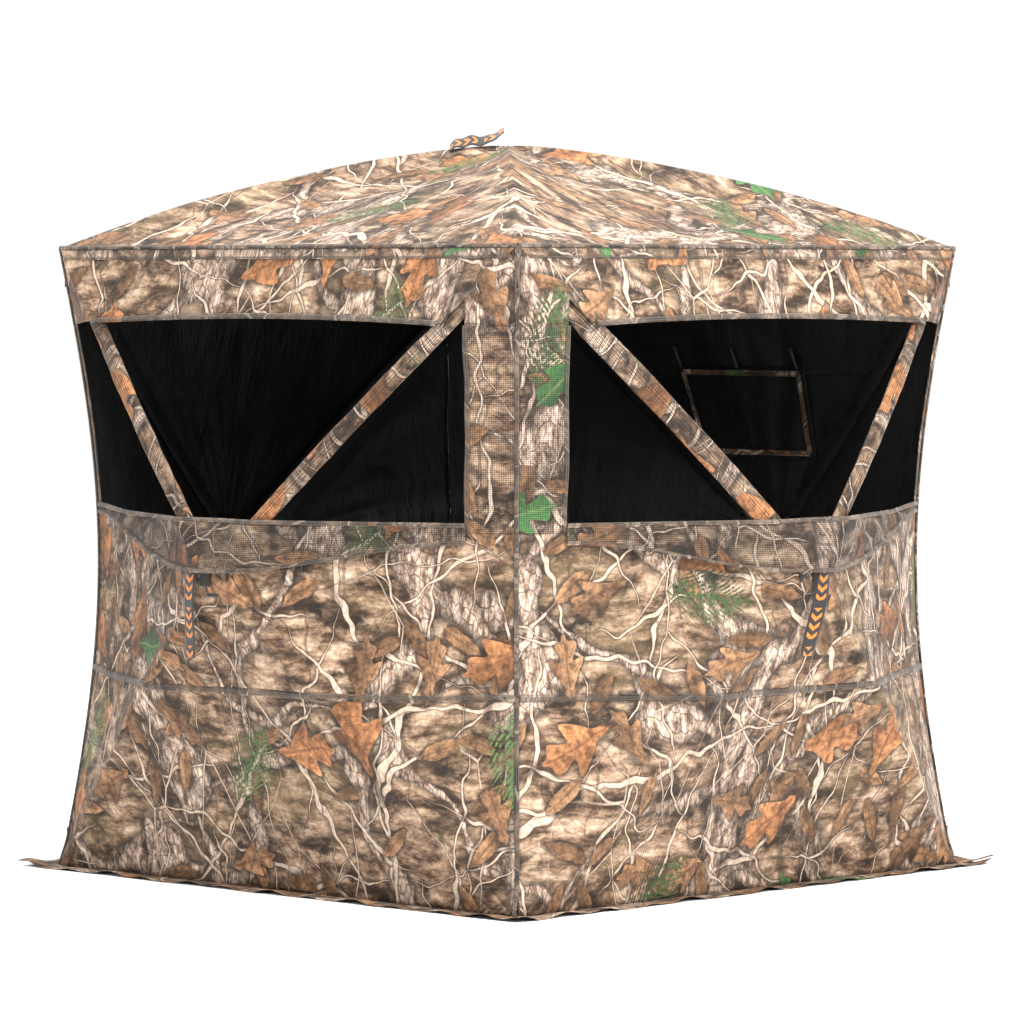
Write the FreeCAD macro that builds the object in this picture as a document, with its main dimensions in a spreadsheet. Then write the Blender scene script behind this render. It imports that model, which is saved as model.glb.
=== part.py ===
import FreeCAD
import Part
import Sketcher
import math
import os

# Pop-up ground blind with five hubs: four bulging walls and a domed roof.
# Origin: centre of the footprint on the ground.  +Z up, the walls square to X and Y.
# The front wall faces -Y and the right wall faces +X; both of them have the long windows.

V = FreeCAD.Vector
Rotation = FreeCAD.Rotation
Placement = FreeCAD.Placement

# ---------------------------------------------------------------- driving dimensions, mm
SIZES = {
    "HalfWidth": 735.0,         # from the middle to the fabric edge at a corner
    "EaveHeight": 1440.0,       # height of the roof edge at the corners
    "WallBulge": 217.5,         # how far a wall's fabric stands out at its hub
    "RoofRise": 236.0,          # peak of the roof above the roof edge
    "FabricThick": 2.4,         # coated fabric with its seam allowance, as a plate
    "PoleGap": 35.0,            # panel edge to the pole line
    "EdgeGap": 34.0,            # panel edge to the corner or eave seam
    "HubGap": 100.0,            # panel end to the peak, along the slope
    "RodRadius": 4.75,          # 9.5 mm glass fibre rod
    "WallBow": 17.0,            # bow of a loaded wall pole
    "RoofBow": 40.0,            # bow of a loaded roof pole
    "FerruleRadius": 7.0,
    "FerruleLength": 46.0,
    "TipRadius": 6.2,
    "TipLength": 24.0,
    "TipSetback": 60.0,         # pole tip to the corner, along the pole
    "EyeThick": 9.4,
    "EyeRadius": 8.5,
    "EyeBore": 3.05,
    "HubRadius": 52.0,
    "HubThick": 26.0,
    "HubInset": 22.5,           # pin plane below the fabric peak
    "TipInset": 12.0,           # pole tips inside the fabric edge
    "PinRadius": 3.0,
    "PinLength": 30.0,
    "PinCircle": 38.0,
    "SlotWidth": 11.0,
    "BoltRadius": 4.0,
    "BoltHead": 9.5,
    "StrapWidth": 38.0,
    "StrapThick": 2.4,
    "StrapLength": 198.0,
    "StrapLift": 6.2,           # the patch sits on the layers that cover the hub
    "RoofStrapLength": 132.0,
    "PatchWide": 33.0,
    "PatchTall": 38.0,
    "SillHeight": 830.0,        # lower edge of the long windows
    "ValanceCorner": 1262.0,    # lower edge of the band above the windows
    "ValanceMiddle": 1286.0,
    "PillarWidth": 148.0,       # mesh strip beside the front corner
    "FarStrip": 24.0,           # strip beside the far corner
    "WindowHalfTop": 188.0,     # small back window, narrower at its foot
    "WindowHalfLow": 166.0,
    "WindowLow": 946.0,
    "WindowHigh": 1140.0,
    "DoorGap": 7.0,
    "DoorFrame": 34.0,
    "DoorInset": 75.0,          # extra margin between the door and the corner seam
    "SkirtOut": 76.0,
    "SkirtIn": 14.0,
    "SkirtThick": 4.0,
    "BandTall": 27.0,
    "BandThick": 3.0,
    "BindingRadius": 8.0,
    "CornerSag": 88.6,          # how far a corner seam is drawn inwards at mid height
    "BindingEnd": 52.0,
    "PocketLeg": 88.0,
    "PocketThick": 3.0,
    "PocketGap": 2.0,
    "FlapLap": 16.0,            # the closed flap inside the back window laps its edge
}

HALF = SIZES["HalfWidth"]
MID = SIZES["EaveHeight"] / 2.0
WALLS = ["front", "right", "back", "left"]
SIDES = ["bottom", "plus", "top", "minus"]   # the four panels round a hub, turned 90 degrees each

doc = FreeCAD.newDocument("GroundBlind")
sheet = doc.addObject("Spreadsheet::Sheet", "Sizes")
row = 0


def cell(alias, value):
    """Keep one number in the sheet under its alias, once."""
    global row
    row += 1
    sheet.set("A%d" % row, alias)
    sheet.set("B%d" % row, "%.4f" % value)
    sheet.setAlias("B%d" % row, alias)


for alias, value in SIZES.items():
    cell(alias, value)
doc.recompute()

nodes = []
outlines = {}


# ---------------------------------------------------------------- frames
def wall_frame(k):
    """u along the wall, v up from mid height, n outwards from the wall's edge plane."""
    turn = Placement(V(0, 0, 0), Rotation(V(0, 0, 1), 90.0 * k))
    face = Placement(V(0, -HALF, MID), Rotation(V(1, 0, 0), 90.0))
    return turn.multiply(face)


def roof_frame():
    return Placement(V(0, 0, SIZES["EaveHeight"]), Rotation())


def panel_frame(base, side, reach, rise, half_edge):
    """Sheet frame of one panel: x along its outer edge from one end, y up the slope to the peak."""
    turn = Placement(V(0, 0, 0), Rotation(V(0, 0, 1), 90.0 * side))
    slope = math.degrees(math.atan2(rise, reach))
    lie = Placement(V(0, -reach, 0), Rotation(V(1, 0, 0), slope))
    start = Placement(V(-half_edge, 0, 0), Rotation())
    return base.multiply(turn).multiply(lie).multiply(start)


def basis(x_axis, y_axis, z_axis, origin):
    turn = FreeCAD.Matrix(
        x_axis.x, y_axis.x, z_axis.x, origin.x,
        x_axis.y, y_axis.y, z_axis.y, origin.y,
        x_axis.z, y_axis.z, z_axis.z, origin.z,
        0, 0, 0, 1,
    )
    return Placement(turn)


# ---------------------------------------------------------------- building blocks
def add_outline(key, points):
    """Keep a closed outline's corners in the sheet; every coordinate is positive."""
    for i, point in enumerate(points):
        cell("%sPx%s" % (key, "abcdefghijkl"[i]), point[0])
        cell("%sPy%s" % (key, "abcdefghijkl"[i]), point[1])
    outlines[key] = points


def draw_outline(sketch, key):
    """Draw one closed outline in a sketch and bind its corners to the sheet."""
    points = outlines[key]
    count = len(points)
    first = sketch.GeometryCount
    for i in range(count):
        here = points[i]
        there = points[(i + 1) % count]
        sketch.addGeometry(Part.LineSegment(V(here[0], here[1], 0), V(there[0], there[1], 0)), False)
    for i in range(count):
        sketch.addConstraint(
            Sketcher.Constraint("Coincident", first + i, 2, first + (i + 1) % count, 1)
        )
    for i in range(count):
        letter = "abcdefghijkl"[i]
        across = sketch.addConstraint(
            Sketcher.Constraint("DistanceX", -1, 1, first + i, 1, points[i][0])
        )
        sketch.setExpression("Constraints[%d]" % across, "Sizes.%sPx%s" % (key, letter))
        along = sketch.addConstraint(
            Sketcher.Constraint("DistanceY", -1, 1, first + i, 1, points[i][1])
        )
        sketch.setExpression("Constraints[%d]" % along, "Sizes.%sPy%s" % (key, letter))


def plane_of(features, role):
    for feature in features:
        if feature.Role == role:
            return feature
    raise RuntimeError("no plane " + role)


def sheet_body(name, keys, thick, where):
    """A flat sewn piece: one outline padded to the cloth's thickness, and any holes cut from it."""
    body = doc.addObject("PartDesign::Body", name)
    base = body.Origin.OriginFeatures
    sketch = body.newObject("Sketcher::SketchObject", name + "_outline")
    sketch.AttachmentSupport = [(plane_of(base, "XY_Plane"), "")]
    sketch.MapMode = "FlatFace"
    draw_outline(sketch, keys[0])
    pad = body.newObject("PartDesign::Pad", name + "_pad")
    pad.Profile = sketch
    pad.setExpression("Length", thick)
    body.Tip = pad
    for key in keys[1:]:
        doc.recompute()
        before = body.Shape.Volume
        hole = body.newObject("Sketcher::SketchObject", name + "_" + key)
        hole.AttachmentSupport = [(plane_of(base, "XY_Plane"), "")]
        hole.MapMode = "FlatFace"
        draw_outline(hole, key)
        pocket = body.newObject("PartDesign::Pocket", name + "_cut_" + key)
        pocket.Profile = hole
        pocket.setExpression("Length", thick)
        pocket.Reversed = True
        body.Tip = pocket
        doc.recompute()
        if body.Shape.Volume > before - 1000.0:
            raise RuntimeError(name + ": the hole was not cut")
    body.Placement = where
    return body


def node(name, made):
    made.Label = name
    nodes.append(made)
    return made


def compound(name, pieces):
    """Several separate solids that share one node."""
    group = doc.addObject("Part::Compound", name)
    group.Links = pieces
    return node(name, group)


def box(name, length, width, height, where):
    made = doc.addObject("Part::Box", name)
    made.setExpression("Length", length)
    made.setExpression("Width", width)
    made.setExpression("Height", height)
    made.Placement = where
    return made


def cylinder(name, radius, height, where):
    made = doc.addObject("Part::Cylinder", name)
    made.setExpression("Radius", radius)
    made.setExpression("Height", height)
    made.Placement = where
    return made


def fuse(name, pieces):
    made = doc.addObject("Part::MultiFuse", name)
    made.Shapes = pieces
    made.Refine = True
    return made


def cut(name, base, tool):
    made = doc.addObject("Part::Cut", name)
    made.Base = base
    made.Tool = tool
    return made


# ---------------------------------------------------------------- panel outlines
def slope_length(reach, rise):
    return math.hypot(reach, rise)


def half_at(along, half_edge, reach, rise):
    """Half width of a panel at a distance up its slope, with the gap to the pole lines."""
    slant = slope_length(reach, rise)
    gap = SIZES["PoleGap"] * math.hypot(half_edge, slant) / slant
    return half_edge * (1.0 - along / slant) - gap


def shifted(points, half_edge, mirror):
    """Move an outline so that x starts at the end of the edge, mirrored where asked."""
    if mirror:
        points = [(-x, y) for x, y in reversed(points)]
    return [(x + half_edge, y) for x, y in points]


def full_panel(half_edge, reach, rise):
    low = SIZES["EdgeGap"]
    high = slope_length(reach, rise) - SIZES["HubGap"]
    wide = half_at(low, half_edge, reach, rise)
    narrow = half_at(high, half_edge, reach, rise)
    return [(-wide, low), (wide, low), (narrow, high), (-narrow, high)]


def valance_panel():
    """Band between the eave seam and the window, a little higher in the middle."""
    rise = SIZES["WallBulge"]
    lean = slope_length(MID, rise) / MID
    low = SIZES["EdgeGap"]
    corner = (SIZES["EaveHeight"] - SIZES["ValanceCorner"]) * lean
    middle = (SIZES["EaveHeight"] - SIZES["ValanceMiddle"]) * lean
    wide = half_at(low, HALF, MID, rise)
    narrow = half_at(corner, HALF, MID, rise)
    return [(-wide, low), (wide, low), (narrow, corner), (0.0, middle), (-narrow, corner)]


def window_side_panel(strip):
    """Side panel below the sill, with a strip of the given width beside the opening."""
    rise = SIZES["WallBulge"]
    lean = slope_length(HALF, rise) / HALF
    sill = SIZES["SillHeight"] - MID
    low = SIZES["EdgeGap"]
    inner = low + strip * lean
    high = slope_length(HALF, rise) - SIZES["HubGap"]
    wide = half_at(low, MID, HALF, rise)
    narrow = half_at(high, MID, HALF, rise)
    slant = slope_length(HALF, rise)
    gap = SIZES["PoleGap"] * math.hypot(MID, slant) / slant
    sill_end = slant * (1.0 - (sill + gap) / MID)
    return [
        (-wide, low), (wide, low), (half_at(inner, MID, HALF, rise), inner),
        (sill, inner), (sill, sill_end), (narrow, high), (-narrow, high),
    ]


def inner_triangle(frame, half_edge, reach, rise):
    """Outline inset from a full panel, used for the door and the hole that it closes."""
    low = SIZES["EdgeGap"] + SIZES["DoorInset"] + frame
    high = slope_length(reach, rise) - SIZES["HubGap"] - frame
    slant = slope_length(reach, rise)
    inset = frame * math.hypot(half_edge, slant) / slant
    wide = half_at(low, half_edge, reach, rise) - inset
    narrow = half_at(high, half_edge, reach, rise) - inset
    if narrow < 12.0:
        gap = SIZES["PoleGap"] * math.hypot(half_edge, slant) / slant
        high = slant * (1.0 - (12.0 + inset + gap) / half_edge)
        narrow = 12.0
    return [(-wide, low), (wide, low), (narrow, high), (-narrow, high)]


BULGE = SIZES["WallBulge"]
RISE = SIZES["RoofRise"]
FULL_WALL = full_panel(HALF, MID, BULGE)
FULL_SIDE = full_panel(MID, HALF, BULGE)
FULL_ROOF = full_panel(HALF, HALF, RISE)
add_outline("WallFull", shifted(FULL_WALL, HALF, False))
add_outline("SideFull", shifted(FULL_SIDE, MID, False))
add_outline("RoofFull", shifted(FULL_ROOF, HALF, False))
add_outline("Valance", shifted(valance_panel(), HALF, False))
PILLAR = window_side_panel(SIZES["PillarWidth"] - SIZES["EdgeGap"])
FAR = window_side_panel(SIZES["FarStrip"])
add_outline("PillarPlus", shifted(PILLAR, MID, False))
add_outline("PillarMinus", shifted(PILLAR, MID, True))
add_outline("FarPlus", shifted(FAR, MID, False))
add_outline("FarMinus", shifted(FAR, MID, True))

LEAN = slope_length(MID, BULGE) / MID
HOLE = [
    (-SIZES["WindowHalfTop"], (SIZES["EaveHeight"] - SIZES["WindowHigh"]) * LEAN),
    (SIZES["WindowHalfTop"], (SIZES["EaveHeight"] - SIZES["WindowHigh"]) * LEAN),
    (SIZES["WindowHalfLow"], (SIZES["EaveHeight"] - SIZES["WindowLow"]) * LEAN),
    (-SIZES["WindowHalfLow"], (SIZES["EaveHeight"] - SIZES["WindowLow"]) * LEAN),
]
add_outline("BackWindow", shifted(HOLE, HALF, False))
LAP = SIZES["FlapLap"]
HOLE_TOP = HOLE[0][1]
HOLE_LOW = HOLE[2][1]
FLAP = [
    (-SIZES["WindowHalfTop"] - LAP, HOLE_TOP - LAP),
    (SIZES["WindowHalfTop"] + LAP, HOLE_TOP - LAP),
    (SIZES["WindowHalfLow"] + LAP, HOLE_LOW + LAP),
    (-SIZES["WindowHalfLow"] - LAP, HOLE_LOW + LAP),
]
add_outline("BackFlap", shifted(FLAP, HALF, False))
DOOR_HOLE = inner_triangle(SIZES["DoorFrame"], MID, HALF, BULGE)
DOOR_LEAF = inner_triangle(SIZES["DoorFrame"] + SIZES["DoorGap"], MID, HALF, BULGE)
add_outline("DoorHole", shifted(DOOR_HOLE, MID, False))
add_outline("DoorLeaf", shifted(DOOR_LEAF, MID, False))

# The lowered window covers, halved at the hub; each half hangs on a side panel.
SILL = SIZES["SillHeight"] - MID
COVER_NEAR = [(SILL - 35.0, 152.0), (SILL + 5.0, 152.0), (SILL + 5.0, 590.0),
              (45.0, 655.0), (8.0, 655.0), (8.0, 560.0)]
COVER_FAR = [(SILL - 1.0, 48.0), (SILL + 5.0, 48.0), (SILL + 5.0, 590.0),
             (45.0, 655.0), (8.0, 655.0), (8.0, 560.0)]
add_outline("CoverNearPlus", shifted(COVER_NEAR, MID, False))
add_outline("CoverNearMinus", shifted(COVER_NEAR, MID, True))
add_outline("CoverFarPlus", shifted(COVER_FAR, MID, False))
add_outline("CoverFarMinus", shifted(COVER_FAR, MID, True))
doc.recompute()


# ---------------------------------------------------------------- hubs, poles and straps
def hub_parts(name, where, corner_dirs):
    """Round hub with a clevis slot for each pole, its four pins and the centre bolt."""
    disc = cylinder(name + "_disc", "Sizes.HubRadius", "Sizes.HubThick",
                    where.multiply(Placement(V(0, 0, -SIZES["HubThick"] / 2.0), Rotation())))
    tools = []
    pins = []
    for i, way in enumerate(corner_dirs):
        turn = Rotation(V(0, 0, 1), math.degrees(math.atan2(way.y, way.x)))
        spoke = where.multiply(Placement(V(0, 0, 0), turn))
        corner = V(SIZES["PinCircle"] - 11.5, -SIZES["SlotWidth"] / 2.0, -SIZES["HubThick"])
        tools.append(box("%s_slot%d" % (name, i), "Sizes.HubRadius", "Sizes.SlotWidth",
                         "2 * Sizes.HubThick", spoke.multiply(Placement(corner, Rotation()))))
        across = Placement(V(SIZES["PinCircle"], SIZES["PinLength"] / 2.0, 0),
                           Rotation(V(1, 0, 0), 90.0))
        tools.append(cylinder("%s_bore%d" % (name, i), "Sizes.PinRadius + 0.02",
                              "Sizes.PinLength", spoke.multiply(across)))
        pins.append(cylinder("%s_pin%d" % (name, i), "Sizes.PinRadius",
                             "Sizes.PinLength", spoke.multiply(across)))
    low = Placement(V(0, 0, -SIZES["HubThick"]), Rotation())
    tools.append(cylinder(name + "_centre", "Sizes.BoltRadius + 0.02", "2 * Sizes.HubThick",
                          where.multiply(low)))
    block = cut(name + "_block", disc, fuse(name + "_tools", tools))
    shank_low = Placement(V(0, 0, -SIZES["HubThick"] / 2.0 - 3.0), Rotation())
    shank = cylinder(name + "_shank", "Sizes.BoltRadius", "Sizes.HubThick + 3.02",
                     where.multiply(shank_low))
    head = cylinder(name + "_head", "Sizes.BoltHead", "4",
                    where.multiply(Placement(V(0, 0, SIZES["HubThick"] / 2.0 + 0.02), Rotation())))
    nut_low = Placement(V(0, 0, -SIZES["HubThick"] / 2.0 - 5.02), Rotation())
    nut = cylinder(name + "_nut", "Sizes.BoltHead", "5", where.multiply(nut_low))
    bolt = fuse(name + "_bolt", [shank, head, nut])
    compound(name, [block, bolt] + pins)


def pole(name, base, way, pin_height, tip_height, reach, bow_alias):
    """Bowed rod with an eye at the hub pin and a moulded cap at the corner end."""
    drop = pin_height - tip_height
    length = reach - SIZES["TipSetback"] - SIZES["PinCircle"]
    chord = math.hypot(length, drop)
    lean = math.atan2(drop, length)
    out = V(0, 0, 1)
    x_axis = way * math.cos(lean) - out * math.sin(lean)
    z_axis = way * math.sin(lean) + out * math.cos(lean)
    origin = way * SIZES["PinCircle"] + out * pin_height
    where = base.multiply(basis(x_axis, z_axis.cross(x_axis), z_axis, origin))
    bow = SIZES[bow_alias]
    radius = chord * chord / (8.0 * bow) + bow / 2.0
    start = -math.asin((chord / 2.0 - 30.0) / radius)
    end = math.asin((chord / 2.0 - 2.0) / radius)
    centre = V(chord / 2.0, 0, bow - radius)
    first = V(math.sin(start), 0, math.cos(start))
    arc_frame = basis(first, V(0, 1, 0).cross(first), V(0, 1, 0), centre)
    rod = doc.addObject("Part::Torus", name + "_rod")
    rod.Radius1 = radius
    rod.setExpression("Radius2", "Sizes.RodRadius")
    rod.Angle3 = math.degrees(end - start)
    rod.Placement = where.multiply(arc_frame)
    lift = math.degrees(math.atan2(4.0 * bow * 46.0 / chord, 46.0))
    along = Rotation(V(0, 1, 0), 90.0 - lift)
    aim = Rotation(V(0, 1, 0), -lift)
    ferrule = cylinder(name + "_ferrule", "Sizes.FerruleRadius", "Sizes.FerruleLength - 12",
                       where.multiply(Placement(aim.multVec(V(19.0, 0, 0)), along)))
    flat = Placement(V(0, SIZES["EyeThick"] / 2.0, 0), Rotation(V(1, 0, 0), 90.0))
    eye = cylinder(name + "_eye", "Sizes.EyeRadius", "Sizes.EyeThick", where.multiply(flat))
    # the flats either side of the eye run in the clevis slot
    neck_at = Placement(V(7.0, -SIZES["EyeThick"] / 2.0, -6.0), Rotation())
    neck = box(name + "_neck", "15", "Sizes.EyeThick", "12",
               where.multiply(Placement(V(0, 0, 0), aim)).multiply(neck_at))
    bore = cylinder(name + "_bore", "Sizes.EyeBore", "4 * Sizes.EyeThick",
                    where.multiply(Placement(V(0, 2.0 * SIZES["EyeThick"], 0),
                                             Rotation(V(1, 0, 0), 90.0))))
    end_way = V(math.cos(end), 0, -math.sin(end))
    end_at = centre + V(math.sin(end), 0, math.cos(end)) * radius - end_way * 20.0
    end_turn = Rotation(V(0, 0, 1), end_way)
    tip = cylinder(name + "_tip", "Sizes.TipRadius", "Sizes.TipLength",
                   where.multiply(Placement(end_at, end_turn)))
    whole = fuse(name + "_whole", [eye, neck, ferrule, rod, tip])
    node(name, cut(name + "_cut", whole, bore))


def patch_and_strap(name, base, peak, centre_u, tilt):
    """Webbing pull strap hanging from the hub, and the square patch sewn over the peak."""
    patch_at = Placement(V(-SIZES["PatchWide"] / 2.0 - 6.0, -SIZES["PatchTall"] / 2.0 - 10.0,
                           peak + SIZES["StrapLift"]), Rotation())
    patch = box(name + "_patch", "Sizes.PatchWide", "Sizes.PatchTall", "Sizes.StrapThick",
                base.multiply(patch_at))
    hang = Placement(V(centre_u, 9.0, peak + SIZES["StrapLift"] + 5.5), Rotation(V(0, 0, 1), tilt))
    low = Placement(V(-SIZES["StrapWidth"] / 2.0, -SIZES["StrapLength"], 0), Rotation())
    strap = box(name + "_strap", "Sizes.StrapWidth", "Sizes.StrapLength", "Sizes.StrapThick",
                base.multiply(hang).multiply(low))
    compound(name, [patch, strap])


def corner_ways(half_u, half_v):
    ways = []
    for su, sv in [(1, -1), (1, 1), (-1, 1), (-1, -1)]:
        way = V(su * half_u, sv * half_v, 0)
        way.normalize()
        ways.append(way)
    return ways


WALL_WAYS = corner_ways(HALF, MID)
ROOF_WAYS = corner_ways(HALF, HALF)
STRAPS = {"front": (-52.0, -1.5), "right": (8.0, -17.0), "back": (-40.0, 2.0), "left": (42.0, -2.0)}

for k, wall in enumerate(WALLS):
    before = WALLS[(k - 1) % 4]
    after = WALLS[(k + 1) % 4]
    frame = wall_frame(k)
    pin_height = BULGE - SIZES["HubInset"]
    hub_parts("hub_" + wall, frame.multiply(Placement(V(0, 0, pin_height), Rotation())), WALL_WAYS)
    pole_names = ["lower_" + after, "upper_" + after, "upper_" + before, "lower_" + before]
    for way, tail in zip(WALL_WAYS, pole_names):
        pole("pole_%s_%s" % (wall, tail), frame, way, pin_height, -SIZES["TipInset"],
             math.hypot(HALF, MID), "WallBow")
    patch_and_strap("strap_" + wall, frame, BULGE, STRAPS[wall][0], STRAPS[wall][1])

    keys = {"bottom": ["WallFull"], "top": ["WallFull"], "plus": ["SideFull"], "minus": ["SideFull"]}
    if wall == "front":
        keys.update({"top": ["Valance"], "plus": ["PillarPlus"], "minus": ["FarMinus"]})
    if wall == "right":
        keys.update({"top": ["Valance"], "plus": ["FarPlus"], "minus": ["PillarMinus"]})
    if wall == "back":
        keys["top"] = ["WallFull", "BackWindow"]
    if wall == "left":
        keys["minus"] = ["SideFull", "DoorHole"]
    tails = {"bottom": "bottom", "top": "top", "plus": after, "minus": before}
    for side, part in enumerate(SIDES):
        half_edge, reach = (HALF, MID) if part in ("bottom", "top") else (MID, HALF)
        where = panel_frame(frame, side, reach, BULGE, half_edge)
        name = "panel_%s_%s" % (wall, tails[part])
        node(name, sheet_body(name + "_body", keys[part], "Sizes.FabricThick", where))

roof = roof_frame()
roof_pin = RISE - SIZES["HubInset"] + 0.5
hub_parts("hub_roof", roof.multiply(Placement(V(0, 0, roof_pin), Rotation())), ROOF_WAYS)
for way, tail in zip(ROOF_WAYS, ["front_right", "back_right", "back_left", "front_left"]):
    pole("pole_roof_" + tail, roof, way, roof_pin, -SIZES["TipInset"],
         math.hypot(HALF, HALF), "RoofBow")
for side, tail in enumerate(WALLS):
    where = panel_frame(roof, side, HALF, RISE, HALF)
    name = "panel_roof_" + tail
    node(name, sheet_body(name + "_body", ["RoofFull"], "Sizes.FabricThick", where))

# The roof strap rises from the patch at the peak, along the diagonal.
peak = roof.multiply(Placement(V(0, 0, RISE), Rotation(V(0, 0, 1), 45.0)))
patch = box("strap_roof_patch", "Sizes.PatchTall", "Sizes.PatchWide", "Sizes.StrapThick",
            peak.multiply(Placement(V(-19.0, -16.5, SIZES["StrapLift"] + 2.0), Rotation())))
strap_at = Placement(V(-135.0, -SIZES["StrapWidth"] / 2.0, -3.0), Rotation(V(0, 1, 0), -19.0))
strap = box("strap_roof_strap", "Sizes.RoofStrapLength", "Sizes.StrapWidth",
            "Sizes.StrapThick", peak.multiply(strap_at))
compound("strap_roof", [patch, strap])

# ---------------------------------------------------------------- covers, door, back flap
LIFT = SIZES["FabricThick"] + 3.0


def on_panel(k, side, lift):
    part = SIDES[side]
    half_edge, reach = (HALF, MID) if part in ("bottom", "top") else (MID, HALF)
    where = panel_frame(wall_frame(k), side, reach, BULGE, half_edge)
    return where.multiply(Placement(V(0, 0, lift), Rotation()))


for name, k, side, key in [
    ("cover_front_right", 0, 1, "CoverNearPlus"),
    ("cover_front_left", 0, 3, "CoverFarMinus"),
    ("cover_right_front", 1, 3, "CoverNearMinus"),
    ("cover_right_back", 1, 1, "CoverFarPlus"),
]:
    node(name, sheet_body(name + "_body", [key], "Sizes.FabricThick", on_panel(k, side, LIFT)))

node("door_leaf", sheet_body("door_leaf_body", ["DoorLeaf"], "Sizes.FabricThick", on_panel(3, 3, 0.0)))

node("back_window_flap", sheet_body("back_window_flap_body", ["BackFlap"], "Sizes.FabricThick",
                                    on_panel(2, 2, -LIFT)))

# ---------------------------------------------------------------- sewn frame that stays put
OUT = HALF + SIZES["SkirtOut"]
INN = HALF - SIZES["SkirtIn"]
add_outline("SkirtStrip", [(0.5, 1.0), (2.0 * OUT - 0.5, 1.0),
                           (OUT + INN - 0.5, OUT - INN + 1.0), (OUT - INN + 0.5, OUT - INN + 1.0)])
doc.recompute()
strips = []
for k in range(4):
    turn = Placement(V(0, 0, 0), Rotation(V(0, 0, 1), 90.0 * k))
    strips.append(sheet_body("skirt_strip%d" % k, ["SkirtStrip"], "Sizes.SkirtThick",
                             turn.multiply(Placement(V(-OUT, -OUT - 1.0, 0), Rotation()))))
compound("ground_skirt", strips)

bands = []
for k in range(4):
    low = V(-HALF + 3.0, -SIZES["BandTall"] + MID, -SIZES["BandThick"] / 2.0)
    strip = box("band_strip%d" % k, "2 * Sizes.HalfWidth - 6", "Sizes.BandTall",
                "Sizes.BandThick", wall_frame(k).multiply(Placement(low, Rotation())))
    bands.append(strip)
compound("eave_band", bands)

# Corner seams are drawn inwards along the diagonal, as a shallow arc.
height = SIZES["EaveHeight"]
sag = SIZES["CornerSag"]
seam_radius = height * height / (8.0 * sag) + sag / 2.0
half_angle = math.asin((height / 2.0 - SIZES["BindingEnd"]) / seam_radius)
seams = []
for k in range(4):
    angle = math.radians(-45.0 + 90.0 * k)
    outward = V(math.cos(angle), math.sin(angle), 0)
    corner = outward * (HALF * math.sqrt(2.0))
    centre = corner - outward * sag + outward * seam_radius + V(0, 0, MID)
    up = V(0, 0, 1)
    first = outward * -math.cos(half_angle) - up * math.sin(half_angle)
    side_way = outward.cross(up)
    sweep_axis = side_way
    arc = doc.addObject("Part::Torus", "seam%d" % k)
    arc.Radius1 = seam_radius
    arc.setExpression("Radius2", "Sizes.BindingRadius")
    arc.Angle3 = math.degrees(2.0 * half_angle)
    if sweep_axis.cross(first).z < 0:
        sweep_axis = sweep_axis * -1.0
    arc.Placement = basis(first, sweep_axis.cross(first), sweep_axis, centre)
    seams.append(arc)
compound("corner_bindings", seams)

# Corner pockets: three-cornered patches outside each corner, over the pole tips.
pockets = []
gap = SIZES["PocketGap"]
thick = SIZES["PocketThick"]
leg = SIZES["PocketLeg"]
for k in range(4):
    turn = Placement(V(0, 0, 0), Rotation(V(0, 0, 1), 90.0 * k))
    for upper in (True, False):
        name = "pocket%d%s" % (k, "top" if upper else "foot")
        edge = HALF + gap
        if upper:
            top = height + gap
            # front and side plates and a roof plate, cut off square to the corner's diagonal
            outer = box(name + "_outer", "Sizes.PocketLeg + 10", "Sizes.PocketLeg + 10",
                        "Sizes.PocketLeg + 10",
                        turn.multiply(Placement(V(edge + thick - leg - 10.0, -edge - thick,
                                                  top + thick - leg - 10.0), Rotation())))
            inner = box(name + "_inner", "Sizes.PocketLeg + 20", "Sizes.PocketLeg + 20",
                        "Sizes.PocketLeg + 20",
                        turn.multiply(Placement(V(edge - leg - 20.0, -edge,
                                                  top - leg - 20.0), Rotation())))
            sign = 1.0
            level = top
        else:
            low = SIZES["SkirtThick"] + 3.0
            outer = box(name + "_outer", "Sizes.PocketLeg + 10", "Sizes.PocketLeg + 10",
                        "Sizes.PocketLeg + 10",
                        turn.multiply(Placement(V(edge + thick - leg - 10.0, -edge - thick, low),
                                                Rotation())))
            inner = box(name + "_inner", "Sizes.PocketLeg + 20", "Sizes.PocketLeg + 20",
                        "Sizes.PocketLeg + 40",
                        turn.multiply(Placement(V(edge - leg - 20.0, -edge, low - 10.0),
                                                Rotation())))
            sign = -1.0
            level = low
        normal = V(-1.0, 1.0, -sign)
        normal.normalize()
        foot = V(edge, -edge, level) + V(-leg, 0, 0)
        trim = box(name + "_trim", "600", "600", "400",
                   turn.multiply(Placement(foot, Rotation(V(0, 0, 1), normal))
                                 .multiply(Placement(V(-300, -300, 0), Rotation()))))
        pockets.append(cut(name, outer, fuse(name + "_tools", [inner, trim])))
compound("corner_pockets", pockets)

# ---------------------------------------------------------------- check and write
doc.recompute()
os.makedirs("parts", exist_ok=True)
for item in doc.Objects:
    state = list(item.State)
    if "Invalid" in state or "Error" in state:
        raise RuntimeError("%s failed: %s" % (item.Name, state))
for item in nodes:
    shape = item.Shape
    if shape.isNull() or not shape.isValid() or shape.Volume <= 0:
        raise RuntimeError("%s has no valid solid" % item.Label)
names = [item.Label for item in nodes]
if len(set(names)) != len(names) or len(names) > 60:
    raise RuntimeError("node names: %d" % len(names))
for item in nodes:
    item.Shape.exportStep(os.path.join("parts", item.Label + ".step"))
whole = Part.makeCompound([item.Shape for item in nodes])
limits = whole.BoundBox
print("nodes", len(nodes), "solids", len(whole.Solids))
print("box", limits.XMin, limits.XMax, limits.YMin, limits.YMax, limits.ZMin, limits.ZMax)
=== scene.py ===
import math

import bmesh
import bpy
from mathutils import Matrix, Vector, noise


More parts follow.
